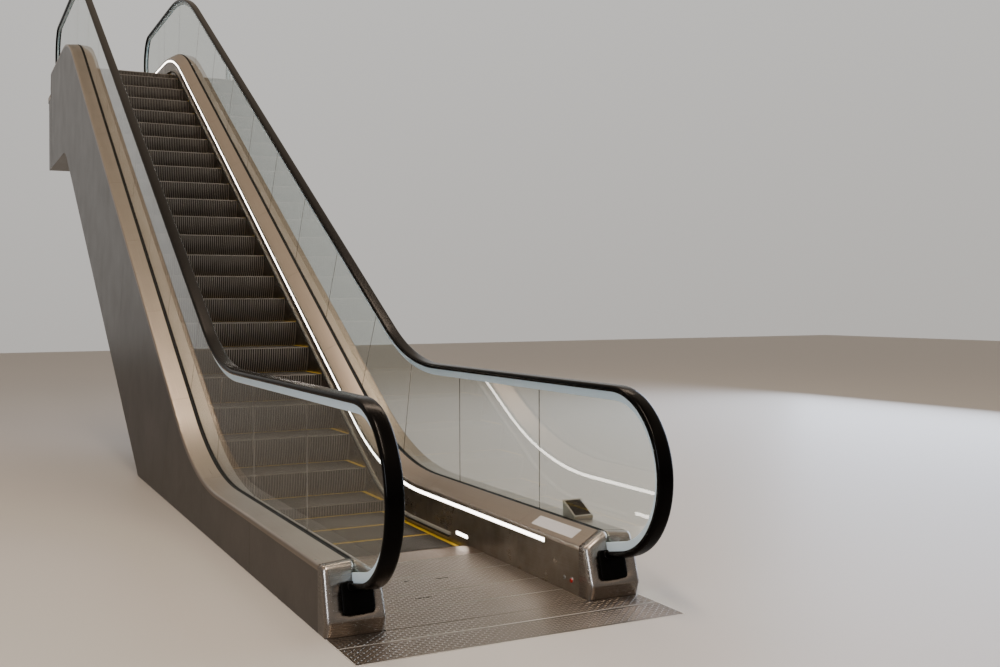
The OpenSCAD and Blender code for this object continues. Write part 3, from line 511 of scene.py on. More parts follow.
def rail_frames():
    """The closed path of the rail's outer face: up the run, round both newels and back below the deck."""
    path = [(y + RAIL_H * ny, z + RAIL_H * nz, ny, nz) for y, z, ny, nz, _ in deck.frames(0, deck.s5)]
    low = [(NEWEL_Y + NEWEL_R * math.cos(a), NEWEL_Z + NEWEL_R * math.sin(a), math.cos(a), math.sin(a))
           for a in newel_turns(36)[1:]]
    bend_r, turns = 0.5, 6
    slope_y, slope_z = low[-1][:2]
    slide = (slope_z - FLOOR - RETURN_D - bend_r * (1 - math.cos(DIP))) / math.sin(DIP)
    end_y = slope_y + slide * math.cos(DIP) + bend_r * math.sin(DIP)
    for k in range(turns + 1):
        a = DIP * (1 - k / turns)
        low.append((end_y - bend_r * math.sin(a), FLOOR + RETURN_D + bend_r * (1 - math.cos(a)),
                    -math.sin(a), -math.cos(a)))
    back = [(y + RETURN_D * ny, z + RETURN_D * nz, -ny, -nz)
            for y, z, ny, nz, _ in deck.frames(end_y - NEWEL_Y, deck.s5 - end_y + NEWEL_Y)]
    high = [(FAR_Y - y, z + RISE, -ny, nz) for y, z, ny, nz in low]
    loop = path + high + back[::-1] + low[::-1]
    loop = [p for k, p in enumerate(loop) if math.dist(p[:2], loop[k - 1][:2]) > 1e-5]
    return [(*p, s) for p, s in zip(loop, walked([p[:2] for p in loop]))]


# Half of the rail's section in millimetres: rounded crown, lip, and the groove that takes the guide
RAIL_HALF = [(0, 0), (16, -0.2), (27, -1.2), (34, -3.6), (38.4, -8), (40, -13.5), (40, -20),
             (39, -25.5), (36.5, -29.4), (32, -31), (21, -31), (18.6, -30), (18, -28), (18, -20.2),
             (27, -20.2), (27, -10.8)]
RAIL_SECTION = [(GLASS_X + x * MM, d * MM) for x, d in RAIL_HALF]
RAIL_SECTION += [(GLASS_X - x * MM, d * MM) for x, d in reversed(RAIL_HALF[1:])]


def make_handrails():
    """Both handrails, each one closed loop."""
    rail = Shape()
    sweep(rail, RAIL_SECTION, rail_frames(), loop=True)
    left_and_right("handrail_belt", rail, [RAIL_RUBBER], "handrail", "handrail")


# Handrail guides, glass and its clamps

def make_guides():
    """Pale T-shaped profiles that hold the rail, with a slot for the glass."""
    stem, head, slot, flange, length = 16 * MM, 26 * MM, 7 * MM, 8 * MM, 2.0
    first_joint = PANE_FIRST + 0.7
    half = [(slot, GUIDE_LOW), (stem - 2 * MM, GUIDE_LOW), (stem, GUIDE_LOW + 2 * MM),
            (stem, GUIDE_TOP - flange), (head, GUIDE_TOP - flange), (head, GUIDE_TOP)]
    section = [(GLASS_X + x, d) for x, d in half] + [(GLASS_X - x, d) for x, d in reversed(half)]
    section += [(GLASS_X - slot, GLASS_TOP), (GLASS_X + slot, GLASS_TOP)]
    guide = Shape()
    panels(guide, deck, section, joints(0, deck.s5, first_joint, length))
    round_newel = [(NEWEL_Y, NEWEL_Z, math.cos(a), math.sin(a), NEWEL_R * a) for a in newel_turns(36)]
    inner_r = GUIDE_LOW - RAIL_H + NEWEL_R
    slide = (CAP_BACK_Y - 2 * MM - NEWEL_Y + inner_r * math.sin(DIP)) / math.cos(DIP)
    round_newel.append((NEWEL_Y + slide * math.cos(DIP), NEWEL_Z - slide * math.sin(DIP),
                        -math.sin(DIP), -math.cos(DIP), round_newel[-1][4] + slide))
    newel = Shape()
    sweep(newel, [(x, d - RAIL_H + NEWEL_R) for x, d in section], round_newel)
    guide.add(both_ends(newel))
    piece("guide_profiles", both_sides(guide), [GUIDE_COAT], "guide", ["handrail_guides"])


def make_glass():
    """Panes with ground edges; the end panes are cut round to the newels."""
    x0, x1, edge = GLASS_X - 6 * MM, GLASS_X + 6 * MM, 1 * MM
    section = [(x0, GLASS_LOW + edge), (x0, GLASS_TOP - edge), (x0 + edge, GLASS_TOP),
               (x1 - edge, GLASS_TOP), (x1, GLASS_TOP - edge), (x1, GLASS_LOW + edge),
               (x1 - edge, GLASS_LOW), (x0 + edge, GLASS_LOW)]
    panes = Shape()
    for a, b in zip(PANE_CUTS, PANE_CUTS[1:]):
        sweep(panes, section, deck.frames(a + JOINT / 2, b - JOINT / 2))
    pane_r = GLASS_TOP - RAIL_H + NEWEL_R
    outline = [(NEWEL_Y + pane_r * math.cos(a), NEWEL_Z + pane_r * math.sin(a)) for a in newel_turns(40)]
    foot_y, foot_z = outline[-1]
    back_y = CAP_BACK_Y - 2 * MM
    pane_end = PANE_FIRST + NEWEL_Y - JOINT / 2
    outline += [(back_y, foot_z - (back_y - foot_y) * math.tan(DIP)), (back_y, FLOOR + GLASS_LOW),
                (pane_end, FLOOR + GLASS_LOW), (pane_end, FLOOR + GLASS_TOP)]
    end = Shape()
    plate(end, outline, x0, x1)
    panes.add(both_ends(end))
    left_and_right("glass_panes", panes, [GLASS], "glass", "glass")


def make_gaskets():
    """Black gaskets on both sides of the glass, on aluminium clamps."""
    foot, outer_top, inner_top = 0.27, 0.2985, 0.302
    clamp_low, clamp_top = 0.24, 0.269
    lips, frames = Shape(), deck.frames(CAP_S, END_S)
    for outer, inner in ((CLAMP_IN, GLASS_X - 6.5 * MM), (CLAMP_OUT, GLASS_X + 6.5 * MM)):
        sweep(lips, [(inner, foot), (outer, foot), (outer, outer_top), (inner, inner_top)], frames)
    clamp = [(CLAMP_IN, clamp_low), (CLAMP_OUT, clamp_low), (CLAMP_OUT, clamp_top), (CLAMP_IN, clamp_top)]
    sweep(lips, clamp, frames, finish=1)
    piece("glass_gaskets", both_sides(lips), [GASKET_AND_HOLE_SHADE, ANODISED], "clamp", ["glass_clamps"])


# Decks, skirts, cladding

def make_decks():
    """Sloped inner decks above the light strips, and outer decks with a rolled lip."""
    inner = Shape()
    section = [(SKIRT_X, LIGHT_TOP), (SKIRT_X, LIP_TOP - 4 * MM), (SKIRT_X + 1.2 * MM, LIP_TOP - MM),
               (SKIRT_X + 4 * MM, LIP_TOP + 2 * MM), (CLAMP_IN - MM, DECK_TOP),
               (CLAMP_IN - MM, DECK_TOP - SHEET), (SKIRT_X + SHEET, LIP_TOP - SHEET),
               (SKIRT_X + SHEET, LIGHT_TOP)]
    panels(inner, deck, section, DECK_CUTS)
    left_and_right("inner_deck_sheet", inner, [DECK_STEEL], "deck", "inner_deck", smooth=50)
    outer = Shape()
    section = [(CLAMP_OUT + MM, DECK_TOP), (OUTER_X - 20 * MM, 0.2907), (OUTER_X - 12 * MM, 0.29),
               (OUTER_X - 6 * MM, 0.2885), (OUTER_X - 2 * MM, 0.2845), (OUTER_X, 0.278),
               (OUTER_X, CLAD_TOP), (OUTER_X - SHEET, CLAD_TOP), (OUTER_X - SHEET, 0.277),
               (OUTER_X - 13 * MM, 0.287), (CLAMP_OUT + MM, DECK_TOP - SHEET)]
    panels(outer, deck, section, CLAD_CUTS)
    left_and_right("outer_deck_sheet", outer, [DECK_STEEL], "deck", "outer_deck", smooth=50)


def make_skirts():
    """Skirt sheets, and the light strips between narrow bars above them."""
    x1 = SKIRT_X + SHEET
    skirt = Shape()
    section = [(SKIRT_X, SKIRT_LOW), (SKIRT_X, LIGHT_LOW), (x1, LIGHT_LOW), (x1, SKIRT_LOW)]
    panels(skirt, deck, section, DECK_CUTS, above_ground=True)
    ends = Shape()
    block(ends, (SKIRT_X, CAP_BACK_Y, FLOOR + LIGHT_LOW), (x1, LIGHT_END_Y, FLOOR + LIGHT_TOP))
    skirt.add(both_ends(ends))
    left_and_right("skirt_sheet", skirt, [SKIRT_STEEL], "skirt", "skirt")
    light_s = LIGHT_END_Y - NEWEL_Y
    strip = Shape()
    bar, proud, lit, metal = 4 * MM, 0.5 * MM, 0, 1
    for low, high, finish in ((LIGHT_LOW, LIGHT_LOW + bar, metal), (LIGHT_LOW + bar, LIGHT_TOP - bar, lit),
                              (LIGHT_TOP - bar, LIGHT_TOP, metal)):
        x = SKIRT_X - (proud if finish == metal else 0)
        panels(strip, deck, [(x, low), (x, high), (x1, high), (x1, low)],
               joints(light_s, deck.s5 - light_s, DECK_CUTS[1], PANEL_L), finish=finish)
    piece("skirt_light_strips", both_sides(strip), [LIT, ANODISED], "light", ["skirt_lights"])


def make_cladding():
    """Cladding sheets, and the screws along the outer edge of the decks."""
    sheet = Shape()
    x0, x1 = OUTER_X - SHEET, OUTER_X - MM
    panels(sheet, deck, [(x1, UNDER_D), (x1, CLAD_TOP), (x0, CLAD_TOP), (x0, UNDER_D)], CLAD_CUTS,
           step=0.12, above_ground=True)
    block(sheet, (x0, FAR_Y - CAP_BACK_Y + JOINT, RISE + FLOOR + UNDER_D), (OUTER_X, UNDER_END_Y, RISE))
    left_and_right("cladding_sheet", sheet, [CLADDING_STEEL], "cladding", "side_cladding")
    screws, head = Shape(), Shape()
    disc(head, 4.5 * MM, MM)
    first, pitch, high = 0.079, 0.53, 0.29
    for k in range(math.ceil((END_S - CAP_S - first) / pitch)):
        y, z, heading = deck.at(CAP_S + first + k * pitch)
        place = (OUTER_X - 16 * MM, y - high * math.sin(heading), z + high * math.cos(heading))
        screws.add(head, Matrix.Translation(place) @ Matrix.Rotation(heading, 4, "X"))
    piece("outer_deck_screws", both_sides(screws), [BRIGHT_STEEL], "deck")


def disc(shape, radius, height, n=16, finish=0, dome=0.6):
    """A low round head on the XY plane, with its rim eased and a slightly raised middle."""
    turns = [math.tau * k / n for k in range(n)]
    rows = [[(radius * r * math.cos(a), radius * r * math.sin(a), height * z) for a in turns]
            for r, z in ((1, 0), (1, 0.5), (0.9, 0.85), (dome, 1), (0.001, 1))]
    shape.grid(rows, [[p[:2] for p in row + row[:1]] for row in rows], finish, wrap=True)


def make_brushes():
    """Holder rail and two rows of bristles on each skirt."""
    start_y, first_l, root, tip = 1.569, 0.8, SKIRT_X - 2 * MM, SKIRT_X - 20 * MM
    first = start_y - nosing.start_y
    brush = Shape()
    cuts = joints(first, nosing.s5 - start_y + COMB_Y, first + first_l, PANEL_L)
    holder = [(SKIRT_X, 0.033), (SKIRT_X, 0.055), (SKIRT_X - 5 * MM, 0.055), (SKIRT_X - 10 * MM, 0.047),
              (SKIRT_X - 12 * MM, 0.04), (SKIRT_X - 12 * MM, 0.034)]
    panels(brush, nosing, holder, cuts)
    for low in (0.0295, 0.0365):
        bristle = [(root, 0.0335), (root, 0.0385), (tip, low + 4.5 * MM), (tip, low)]
        panels(brush, nosing, bristle, cuts, finish=1)
    piece("skirt_brush_strips", both_sides(brush), [HOLDER, BRISTLES], "brush", ["skirt_brushes"])


# Steps

CLEAT_PITCH, CLEAT_W = 9.1 * MM, 4.2 * MM
RIB_PITCH, RIB_W = 18.2 * MM, 7.6 * MM
STEP_HALF = 0.499
TREAD_L = 0.396
RISER_END = math.radians(33.5)
STEP_DEEP, STEP_FOOT = 250.8 * MM, 10 * MM


def cleats(shape, path, half_w, pitch, width, crest, groove, flare=0.0):
    """Cleats along a path of (y, z, cut y, cut z); the last two say where the grooves' floor lies."""
    count = int((2 * half_w - width) / pitch)
    start = -(count * pitch + width) / 2
    columns = [(-half_w, 0)] if start > -half_w + 1e-5 else []
    for k in range(count + 1):
        x = start + k * pitch
        columns += [(x, 0), (x + width, 0)]
        if k < count:
            columns += [(x + width + flare, 1), (x + pitch - flare, 1)]
    if -start < half_w - 1e-5:
        columns.append((half_w, 0))
    rows = [[(x, y + low * cy, z + low * cz) for x, low in columns] for y, z, cy, cz in path]
    grain = [[(p[1] + p[2], p[0]) for p in row] for row in rows]

    def pick(i, j):
        return crest if columns[j][1] == 0 and columns[j + 1][1] == 0 else groove
    shape.grid(rows, grain, pick)


def on_riser(turn, in_by=0.0):
    """Place on the riser, which is curved about the back edge of the tread, in by a depth."""
    r = STEP_PITCH - in_by
    return STEP_PITCH - r * math.cos(turn), -r * math.sin(turn)


def make_step():
    """One step: cleated tread, smooth nosing and ribbed riser, with side frames below."""
    crest, groove, nose, rib, rib_groove = range(5)
    deep, rib_deep, nose_low, frame_t, turns = 7 * MM, 8 * MM, 9 * MM, 12 * MM, 6
    step = Shape()
    cleats(step, [(TREAD_L, 0, 0, -deep), (0.004, 0, 0, -deep), (0.0012, -0.0012, 0.001, -deep + 0.001),
                  (0.0008, -0.004, 0.001, -deep + 0.004)], STEP_HALF, CLEAT_PITCH, CLEAT_W, crest, groove)
    nosing_bar = [(0.012, -0.0035), (0.0022, -0.0035), (0.0008, -0.0045), (0.0008, -nose_low + MM),
                  (0.002, -nose_low), (0.012, -nose_low)]
    plate(step, nosing_bar, -STEP_HALF, STEP_HALF, nose)
    ribs = []
    for k in range(turns + 1):
        a = nose_low / STEP_PITCH + (RISER_END - nose_low / STEP_PITCH) * k / turns
        y, z = on_riser(a, 0.4 * MM)
        ribs.append((y, z, rib_deep * math.cos(a), rib_deep * math.sin(a)))
    cleats(step, ribs, STEP_HALF, RIB_PITCH, RIB_W, rib, rib_groove, flare=0.8 * MM)
    # The groove floor, the riser sheet behind the ribs and the side frames take the same near-black painted
    # shade.
    block(step, (-STEP_HALF, 0.01, -25 * MM), (STEP_HALF, TREAD_L, -7.2 * MM), groove)
    sheet = [on_riser(RISER_END * k / turns, 20 * MM) for k in range(turns + 1)]
    sheet += [on_riser(RISER_END * k / turns, 8.8 * MM) for k in range(turns, -1, -1)]
    plate(step, sheet, -STEP_HALF, STEP_HALF, groove)
    drop = STEP_PITCH * math.sin(RISER_END)
    side = [(0.006, -0.012), (0.388, -0.012), (0.366, -drop / 2), (0.225, -drop - 0.009),
            (0.175, -drop - 0.009), (drop / 3, -drop + 0.006)]
    for x in (-0.442, 0.43):
        plate(step, side, x, x + frame_t, groove)
    return step


def make_steps():
    """All steps, cut off just above the ground, with yellow strips on three edges of each tread."""
    step = make_step()
    edges = Shape()
    wide, high, comb_reach = 25 * MM, 1 * MM, 0.1
    for x in (-STEP_HALF, STEP_HALF - wide):
        block(edges, (x, 4 * MM, -3 * MM), (x + wide, TREAD_L - 2 * MM, high))
    cleats(edges, [(TREAD_L - wide, 0.6 * MM, 0, -2 * MM), (TREAD_L, 0.6 * MM, 0, -2 * MM)],
           STEP_HALF - wide, CLEAT_PITCH, CLEAT_W, 0, 0)
    groups = {"lower": Shape(), "incline": Shape(), "upper": Shape()}
    inserts = Shape()
    for i in range(int(nosing.s5 / STEP_PITCH) + 1):
        s = i * STEP_PITCH
        y, z, _ = nosing.at(s)
        place = Matrix.Translation((0, y, z))
        low = z - STEP_DEEP < STEP_FOOT
        one = step.moved(place)
        if low:
            one.points = [(p[0], p[1], max(p[2], STEP_FOOT + 0.2 * MM)) for p in one.points]
        groups["lower" if low else "upper" if s > nosing.s3 else "incline"].add(one)
        if y > COMB_Y - comb_reach and y + STEP_PITCH < FAR_Y - COMB_Y + comb_reach:
            inserts.add(edges, place)
    finishes = [TREAD_CREST, TREAD_GROOVE_SHADE, NOSING, RISER_CREST, RISER_GROOVE_SHADE]
    for word, shape in groups.items():
        piece(f"step_castings_{word}", shape, finishes, "step", [f"steps_{word}"])
    piece("step_edge_strips", inserts, [EDGE_YELLOW, TREAD_GROOVE_SHADE], "step_edge", ["step_edge_inserts"])


# Landings

def bar_pattern(shape, low, high, top):
    """Raised bars in both diagonals in turn, 20 mm apart, as on a rolled tread plate."""
    pitch, half_l, half_w, slant, height, edge = 20 * MM, 8 * MM, 1.8 * MM, 1 * MM, 0.9 * MM, 9 * MM

    def ring(grow):
        end, side, flat = half_l + grow, half_w + grow, half_l - half_w
        return [(-end, 0), (-flat, -side), (flat, -side), (end, 0), (flat, side), (-flat, side)]
    columns = int((high[0] - low[0] - pitch) / pitch)
    rows = int((high[1] - low[1] - pitch / 2) / pitch)
    x0 = (low[0] + high[0] - columns * pitch) / 2
    y0 = (low[1] + high[1] - rows * pitch) / 2
    for i in range(columns + 1):
        for j in range(rows + 1):
            cx, cy = x0 + i * pitch, y0 + j * pitch
            if not (low[0] + edge < cx < high[0] - edge and low[1] + edge < cy < high[1] - edge):
                continue
            turn = math.pi / 4 if (i + j) % 2 else -math.pi / 4
            c, s = math.cos(turn), math.sin(turn)
            bar = [[(cx + c * x - s * y, cy + s * x + c * y, top - down) for x, y in ring(grow)]
                   for grow, down in ((slant, height), (0.0, 0.0))]
            shape.grid(bar, [[p[:2] for p in row] * 2 for row in bar], 1, wrap=True)
            shape.face(bar[1], None, 1)


def make_plates():
    """Removable floor plates with raised bars, thin open seams and lifting slots shown as flat black patches
    of painted shade.
    """
    gap, bar_h, rib_half, slot_half = 1.8 * MM, 1 * MM, 3 * MM, 3 * MM
    edge_x, inner_x = PLATE_HIGH.x, SKIRT_X - 1.5 * MM
    rib_y = -0.15
    cuts = [0, SHORT_PLATE_L, 2 * SHORT_PLATE_L, SHORT_PLATE_L + COMB_BACK_Y / 2, COMB_BACK_Y]
    fields = [((-edge_x, PLATE_LOW.y), (edge_x, rib_y - rib_half)),
              ((-edge_x, rib_y + rib_half), (edge_x, -gap))]
    fields += [((-inner_x, a + gap), (inner_x, b - gap)) for a, b in zip(cuts, cuts[1:])]
    plates = Shape()
    for y in cuts[1:]:
        block(plates, (-inner_x, y - 1.6 * MM, FLOOR - 5 * MM), (inner_x, y - gap / 2, FLOOR), 3)
    for low, high in fields:
        block(plates, (*low, FLOOR - 6 * MM), (*high, FLOOR - bar_h))
        bar_pattern(plates, low, high, FLOOR)
    # Lifting slots are flat black patches on the plate: painted shade for the hollow of each slot.
    for x0, x1, y in ((-0.13, -0.1, 0.735), (0.033, 0.1, 0.712), (-0.2, -0.12, 0.41)):
        block(plates, (x0, y - slot_half, FLOOR - 2 * MM), (x1, y + slot_half, FLOOR + 0.05 * MM), 2)
    for word, matrix in (("lower", Matrix()), ("upper", UPPER_END)):
        piece(f"patterned_plates_{word}", plates.moved(matrix), [PLATE_GROUND, PLATE_BAR, GASKET_AND_HOLE_SHADE, TRIM],
              "floor_plate", [f"floor_plates_{word}"])


# Newel caps

KICK_H = 64 * MM
LEAN_FOOT, LEAN_TOP = (-0.0214, KICK_H + 6 * MM), (0.038, 0.284)


def cap_rows():
    """The cap's front from its foot to its rounded top, as (y, height above the floor)."""
    rows = [(0.0, -FLOOR), (0.0, 0.0), (-0.003, 0.008), (-0.02, KICK_H - 6 * MM), (-0.0218, KICK_H),
            LEAN_FOOT]
    (y0, h0), (y1, h1) = LEAN_FOOT, LEAN_TOP
    rows += [(y0 + (y1 - y0) * k / 8, h0 + (h1 - h0) * k / 8) for k in range(1, 9)]
    for k in range(1, 6):
        a = math.radians(15 * k)
        rows.append((y1 + 18 * MM * (1 - math.cos(a)) + 2 * MM * k, h1 + 16 * MM * math.sin(a)))
    return rows


def roof(x):
    """Height of the deck over a place across the cap."""
    stops = [(SKIRT_X, LIP_TOP - 6 * MM), (SKIRT_X + SHEET, LIP_TOP), (CLAMP_IN, DECK_TOP),
             (CLAMP_OUT, DECK_TOP), (OUTER_X - 12 * MM, 0.29), (OUTER_X - SHEET, 0.285), (OUTER_X, 0.276)]
    for (xa, za), (xb, zb) in zip(stops, stops[1:]):
        if x <= xb + 1e-9:
            return za + (zb - za) * max(0.0, (x - xa) / (xb - xa))
    return stops[-1][1]


def make_cap():
    """Folded stainless cap with rounded corners, a leaning kick band and openings for the rail."""
    r, slot, guide_slot, box_half, lean = 22 * MM, 7 * MM, 18 * MM, 66 * MM, 0.278
    openings = [GLASS_X + x for x in (-box_half, -guide_slot, -slot, slot, guide_slot, box_half)]
    corner = [(r * (1 - math.cos(a)), r * (1 - math.sin(a))) for a in (math.pi / 2 * k / 6 for k in range(7))]
    plan = [(SKIRT_X, None)] + [(SKIRT_X + x, y) for x, y in corner]
    plan += [(x, 0.0) for x in (SKIRT_X + 30 * MM, *openings, OUTER_X - 30 * MM)]
    plan += [(OUTER_X - x, y) for x, y in reversed(corner)] + [(OUTER_X, None)]
    profile = cap_rows()
    low_row, high_row, guide_row = 0.1, 0.216, 0.26
    heights = [p[1] for p in profile]
    for wanted in (low_row, high_row, guide_row):
        k = min(range(len(heights)), key=lambda n: abs(heights[n] - wanted))
        profile[k] = (profile[k][0] + (wanted - heights[k]) * lean, wanted)
    rows, grain = [], []
    for y, h in profile:
        row = []
        for x, back in plan:
            place_y, up = CAP_BACK_Y if back is None else y + back, h
            if h > LEAN_FOOT[1]:
                up = KICK_H + (h - KICK_H) * (roof(x) - KICK_H) / (DECK_TOP - KICK_H)
            row.append((x, place_y, FLOOR + up))
        rows.append(row)
        grain.append([(s, h) for s in walked([p[:2] for p in row])])

    def keep(i, j):
        x = (rows[i][j][0] + rows[i][j + 1][0]) / 2
        h = (profile[i][1] + profile[i + 1][1]) / 2
        aside = abs(x - GLASS_X)
        top = high_row if aside > guide_slot else guide_row if aside > slot else 1.0
        return not (aside < box_half and low_row < h < top)
    cap = Shape()
    cap.grid(rows, grain, 0, keep=keep)
    front = rows[-1][1:-1]
    back = [(p[0], CAP_BACK_Y, p[2]) for p in front]
    cap.grid([front, back], [[p[:2] for p in row] for row in (front, back)], 0,
             keep=lambda i, j: abs((front[j][0] + front[j + 1][0]) / 2 - GLASS_X) > slot)
    return cap


def make_caps():
    cap = make_cap()
    for end, at_end in (("lower", Matrix()), ("upper", UPPER_END)):
        for side, matrix in (("right", Matrix()), ("left", LEFT)):
            piece(f"newel_cap_{end}_{side}_sheet", cap.moved(at_end @ matrix), [CAP_STEEL], "cap",
                  [f"newel_cap_{end}_{side}"], solid=SHEET)


def make_inlets():
    """Black moulded boxes in the caps, with a soft lip round the rail."""
    low, high, half = 0.094, 0.222, 0.07
    kick_out, top_back, top_h = 0.022, 0.046, 0.302
    lean = (top_back + kick_out) / (top_h - KICK_H)
    middle = (low + high) / 2
    outline = rounded([(-half, low), (half, low), (half, high), (-half, high)], 16 * MM, 5)
    inlet = Shape()
    rows = []
    for out, shrink in ((-0.06, 0), (0.0, 0), (0.009, 0), (0.0115, 0.0025), (0.012, 0.006)):
        share = 1 - shrink / half
        rows.append([(GLASS_X + x * share, (h - KICK_H) * lean - kick_out - out,
                      FLOOR + middle + (h - middle) * share) for x, h in outline])
    inlet.grid(rows, [[(0.0, 0.0)] * (len(outline) + 1)] * len(rows), 0, wrap=True)
    inlet.face(rows[-1], None, 0)
    lip = [((x - GLASS_X) * 1.08 + GLASS_X, d * 1.15 + 2 * MM) for x, d in RAIL_SECTION]
    arc_y, arc_z = NEWEL_Y - NEWEL_R * math.sin(DIP), NEWEL_Z - NEWEL_R * math.cos(DIP)
    frames = [(y, arc_z - (y - arc_y) * math.tan(DIP), -math.sin(DIP), -math.cos(DIP), y)
              for y in (-8 * MM, 30 * MM)]
    sweep(inlet, lip, frames, finish=1)
    piece("inlet_boxes", both_sides(both_ends(inlet)), [INLET_ABS, GASKET_AND_HOLE_SHADE], "inlet", ["handrail_inlets"],
          smooth=40)


# Small fittings

def make_comb_lamps():
    """Oval lenses beside the combs, each in a thin metal rim."""
    middle_y, middle_z, length, height, rim = COMB_Y + 0.086, FLOOR + 0.044, 158 * MM, 20 * MM, 3 * MM
    lamps = Shape()
    for grow, proud, finish in ((0.0, 3 * MM, 0), (rim, 2 * MM, 1)):
        outline, r = [], height / 2 + grow
        for a in (math.tau * (k + 0.5) / 24 for k in range(24)):
            y = middle_y + math.copysign((length - height) / 2, math.cos(a))
            outline.append((y + r * math.cos(a), middle_z + r * math.sin(a)))
        plate(lamps, outline, SKIRT_X - proud, SKIRT_X, finish)
    piece("comb_lamp_lenses", both_sides(both_ends(lamps)), [LIT, ANODISED], "light", ["comb_lamps"])


def make_switches():
    """Key switch with its slot and red stop button, low on the right skirt."""
    key_y, stop_y, high = 0.237, 0.164, 0.058
    key, stop, switches = Shape(), Shape(), Shape()
    disc(key, 11 * MM, 3 * MM, n=32)
    # The key slot is a black bar on the switch face: painted shade for the keyway.
    block(key, (-1 * MM, -5 * MM, 2 * MM), (1 * MM, 5 * MM, 3.6 * MM), 2)
    disc(stop, 16 * MM, 3 * MM, n=32)
    disc(stop, 11 * MM, 9 * MM, n=32, finish=1, dome=0.75)
    for y, shape in ((key_y, key), (stop_y, stop)):
        place = Matrix.Translation((SKIRT_X, y, FLOOR + high))
        switches.add(shape, place @ Matrix.Rotation(-math.pi / 2, 4, "Y"))
    piece("landing_switches", both_ends(switches), [BRIGHT_STEEL, RED_ABS, GASKET_AND_HOLE_SHADE], "switch",
          ["control_switches"])


def make_signal_boxes():
    """Aluminium wedges on the outer decks, with dark display fronts."""
    w, l, y0 = 0.106, 0.12, 0.372
    x0 = OUTER_X - 14 * MM - w
    foot, nose, crown = FLOOR + 0.292, FLOOR + 0.314, FLOOR + 0.38
    wedge = Shape()
    plate(wedge, [(y0, foot), (y0, nose), (y0 + l, crown), (y0 + l, foot)], x0, x0 + w)
    rise = (crown - nose) / l
    rows = []
    for edge, lift in ((8 * MM, 0.4 * MM), (9 * MM, 1.2 * MM)):
        a, b = y0 + edge, y0 + l - edge
        rows.append([(x, y, nose + (y - y0) * rise + lift) for x, y in
                     ((x0 + edge, a), (x0 + w - edge, a), (x0 + w - edge, b), (x0 + edge, b))])
    wedge.grid(rows, [[(0.0, 0.0)] * 5] * 2, 1, wrap=True)
    wedge.face(rows[1], None, 1)
    piece("signal_box_cases", both_ends(wedge), [ANODISED, SCREEN], "signal_box", ["signal_boxes"],
          bevel=1 * MM)


def make_label():
    """A bare film on the slope of the right inner deck."""
    start, end, near, far, film = 0.205, 0.615, 22 * MM, 88 * MM, 0.4 * MM
    foot_x, foot_z = SKIRT_X + 4 * MM, LIP_TOP + 2 * MM
    reach = math.hypot(CLAMP_IN - foot_x, DECK_TOP - foot_z)
    ux, uz = (CLAMP_IN - foot_x) / reach, (DECK_TOP - foot_z) / reach
    rows = [[(foot_x + ux * t - uz * up, y, FLOOR + foot_z + uz * t + ux * up)
             for t, up in ((near, 0.0), (near, film), (far, film), (far, 0.0))] for y in (start, end)]
    label = Shape()
    label.grid(rows, [[(0.0, 0.0)] * 5] * 2, 0, wrap=True)
    piece("bare_label_film", both_ends(label), [LABEL_FILM], "signal_box")


def dress_cad_nodes():
    """Finishes of the CAD nodes that stay in sight."""
    finishes = {"landing_frame": TRIM, "comb_plate": COMB_METAL, "combs": COMB_METAL,
                "step_axles": BRIGHT_STEEL, "guide_tracks": GALVANISED, "deck_brackets": GALVANISED,
                "upper_bearing": GALVANISED, "cross_beams": PAINTED, "truss": PAINTED,
                "soffit": SOFFIT_PAINT, "upper_end_wall": SOFFIT_PAINT}
    for name, node in NODES.items():
        for start, finish in finishes.items():
            if name.startswith(start):
                node.data.materials.clear()
                node.data.materials.append(finish)


for make in (make_handrails, make_guides, make_glass, make_gaskets, make_decks, make_skirts, make_cladding,
             make_brushes, make_steps, make_plates, make_caps, make_inlets, make_comb_lamps, make_switches,
             make_signal_boxes, make_label, dress_cad_nodes):
    make()


# Stage: floor with an opening for the part, surroundings, lamps and camera

def honed_floor():
    """Pale honed stone, nearly matt. Its mirror images are darker, so that glass and steel stay clear."""
    made, tree = new_finish("pale_honed_floor")
    depth = add_node(tree, "LightPath").outputs["Glossy Depth"]
    mirrored = add_node(tree, "Math", {0: depth, 1: 0.5}, operation="GREATER_THAN").outputs[0]
    tint = add_node(tree, "Mix", {0: mirrored, 6: colour("#CBC7C1"), 7: colour("#7E7973")},
                    data_type="RGBA").outputs[2]
    body = add_node(tree, "BsdfPrincipled", {"Base Color": tint, "Roughness": 0.5})
    add_node(tree, "OutputMaterial", {"Surface": body.outputs[0]})
    return made


def make_stage():
    """A wide floor just below the part's own floor line, open where the part stands in it."""
    floor_z = FLOOR - 1 * MM
    x, far = OUTER_X + 0.5 * MM, 30.0
    hole_y0, hole_y1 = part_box("landing_frame_lower")[0].y, 4.79
    stage = bpy.data.meshes.new("stage_floor")
    ring = [(-far, -far), (far, -far), (far, far), (-far, far)]
    hole = [(-x, hole_y0), (x, hole_y0), (x, hole_y1), (-x, hole_y1)]
    points = [(px, py, floor_z) for px, py in ring + hole]
    stage.from_pydata(points, [], [(k, (k + 1) % 4, (k + 1) % 4 + 4, k + 4) for k in range(4)])
    made = bpy.data.objects.new("stage_floor", stage)
    bpy.context.scene.collection.objects.link(made)
    stage.materials.append(honed_floor())


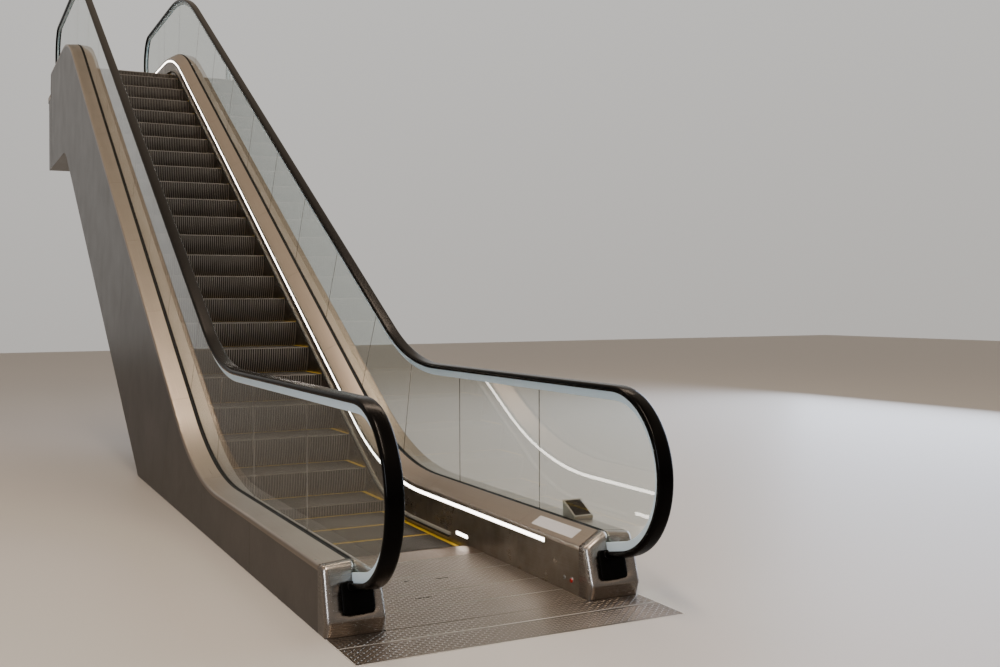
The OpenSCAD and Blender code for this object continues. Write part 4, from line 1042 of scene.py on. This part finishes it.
def make_world():
    """Pale plain surroundings ahead of the part, and warm darker ones behind and above."""
    world = bpy.data.worlds.new("studio")
    world.use_nodes = True
    tree = world.node_tree
    tree.nodes.clear()
    way = add_node(tree, "TexCoord").outputs["Generated"]
    up = add_node(tree, "SeparateXYZ", {0: way}).outputs[2]
    rise = add_node(tree, "MapRange", {0: up, 1: -1.0, 2: 1.0}).outputs[0]
    ahead = add_node(tree, "VectorMath", {0: way, 1: (0.6, 0.8, 0.0)},
                     operation="DOT_PRODUCT").outputs["Value"]
    share = add_node(tree, "MapRange", {0: ahead, 1: 0.4, 2: 0.85},
                     interpolation_type="SMOOTHSTEP").outputs[0]
    pale_ramp = [(0.0, "#8A857F"), (0.49, "#D5D1CC"), (0.66, "#E9E7E4"), (0.74, "#A39584"),
                 (0.88, "#DBC9B5"), (1.0, "#6E6156")]
    warm_ramp = [(0.0, "#5E5A56"), (0.49, "#6E6A66"), (0.62, "#8E8780"), (0.76, "#A8988A"),
                 (0.88, "#CDB9A2"), (1.0, "#5A5048")]
    pale = add_node(tree, "ValToRGB", {0: rise}, ramp=pale_ramp).outputs[0]
    warm = add_node(tree, "ValToRGB", {0: rise}, ramp=warm_ramp).outputs[0]
    blend = add_node(tree, "Mix", {0: share, 6: warm, 7: pale}, data_type="RGBA").outputs[2]
    light = add_node(tree, "Background", {"Color": blend, "Strength": 0.9})
    add_node(tree, "OutputWorld", {"Surface": light.outputs[0]})
    bpy.context.scene.world = world


def lamp(name, place, aim, size, power, code):
    """A soft oblong lamp that points at a place and is hidden from the camera's direct view."""
    data = bpy.data.lights.new(name, "AREA")
    data.shape, data.size, data.size_y = "RECTANGLE", *size
    data.energy, data.color = power, colour(code)[:3]
    made = bpy.data.objects.new(name, data)
    made.location = place
    made.rotation_euler = (Vector(aim) - Vector(place)).to_track_quat("-Z", "Y").to_euler()
    made.visible_camera = False
    bpy.context.scene.collection.objects.link(made)


def make_lights():
    """Name, place, aim, size, power in watts and colour of each lamp."""
    lamp("right_side", (9.0, 3.5, 3.2), (0, 3, 1.0), (10, 5.5), 900, "#DCE9FF")
    lamp("front_strip", (-0.9, -1.5, 5.4), (-0.3, 1.2, 0), (0.35, 4), 170, "#FFE9D2")
    lamp("overhead_row", (0.8, 6.5, 9.8), (0, 6.5, 2), (0.6, 12), 420, "#FFE6CE")
    lamp("left_fill", (-6.5, -3.0, 2.6), (0, 1.0, 0.8), (1.2, 3), 170, "#F0F5FF")


def make_camera():
    """The photograph's own view: eye height 1.39 m above the floor, looking past the left newel."""
    eye, yaw, roll = (-2.17598, -4.40350, 1.44674), 0.4666213, -0.0040028
    right = Vector((math.cos(yaw), -math.sin(yaw), 0))
    ahead = Vector((math.sin(yaw), math.cos(yaw), 0))
    c, s = math.cos(roll), math.sin(roll)
    side, up = c * right + Vector((0, 0, s)), -s * right + Vector((0, 0, c))
    turn = Matrix((side, up, -ahead)).transposed().to_4x4()
    data = bpy.data.cameras.new("photo_camera")
    data.sensor_width, data.lens, data.shift_y = 36.0, 39.897, -0.03135
    data.clip_start, data.clip_end = 0.05, 200
    made = bpy.data.objects.new("photo_camera", data)
    made.matrix_world = Matrix.Translation(eye) @ turn
    bpy.context.scene.collection.objects.link(made)
    bpy.context.scene.camera = made


make_stage()
make_world()
make_lights()
make_camera()
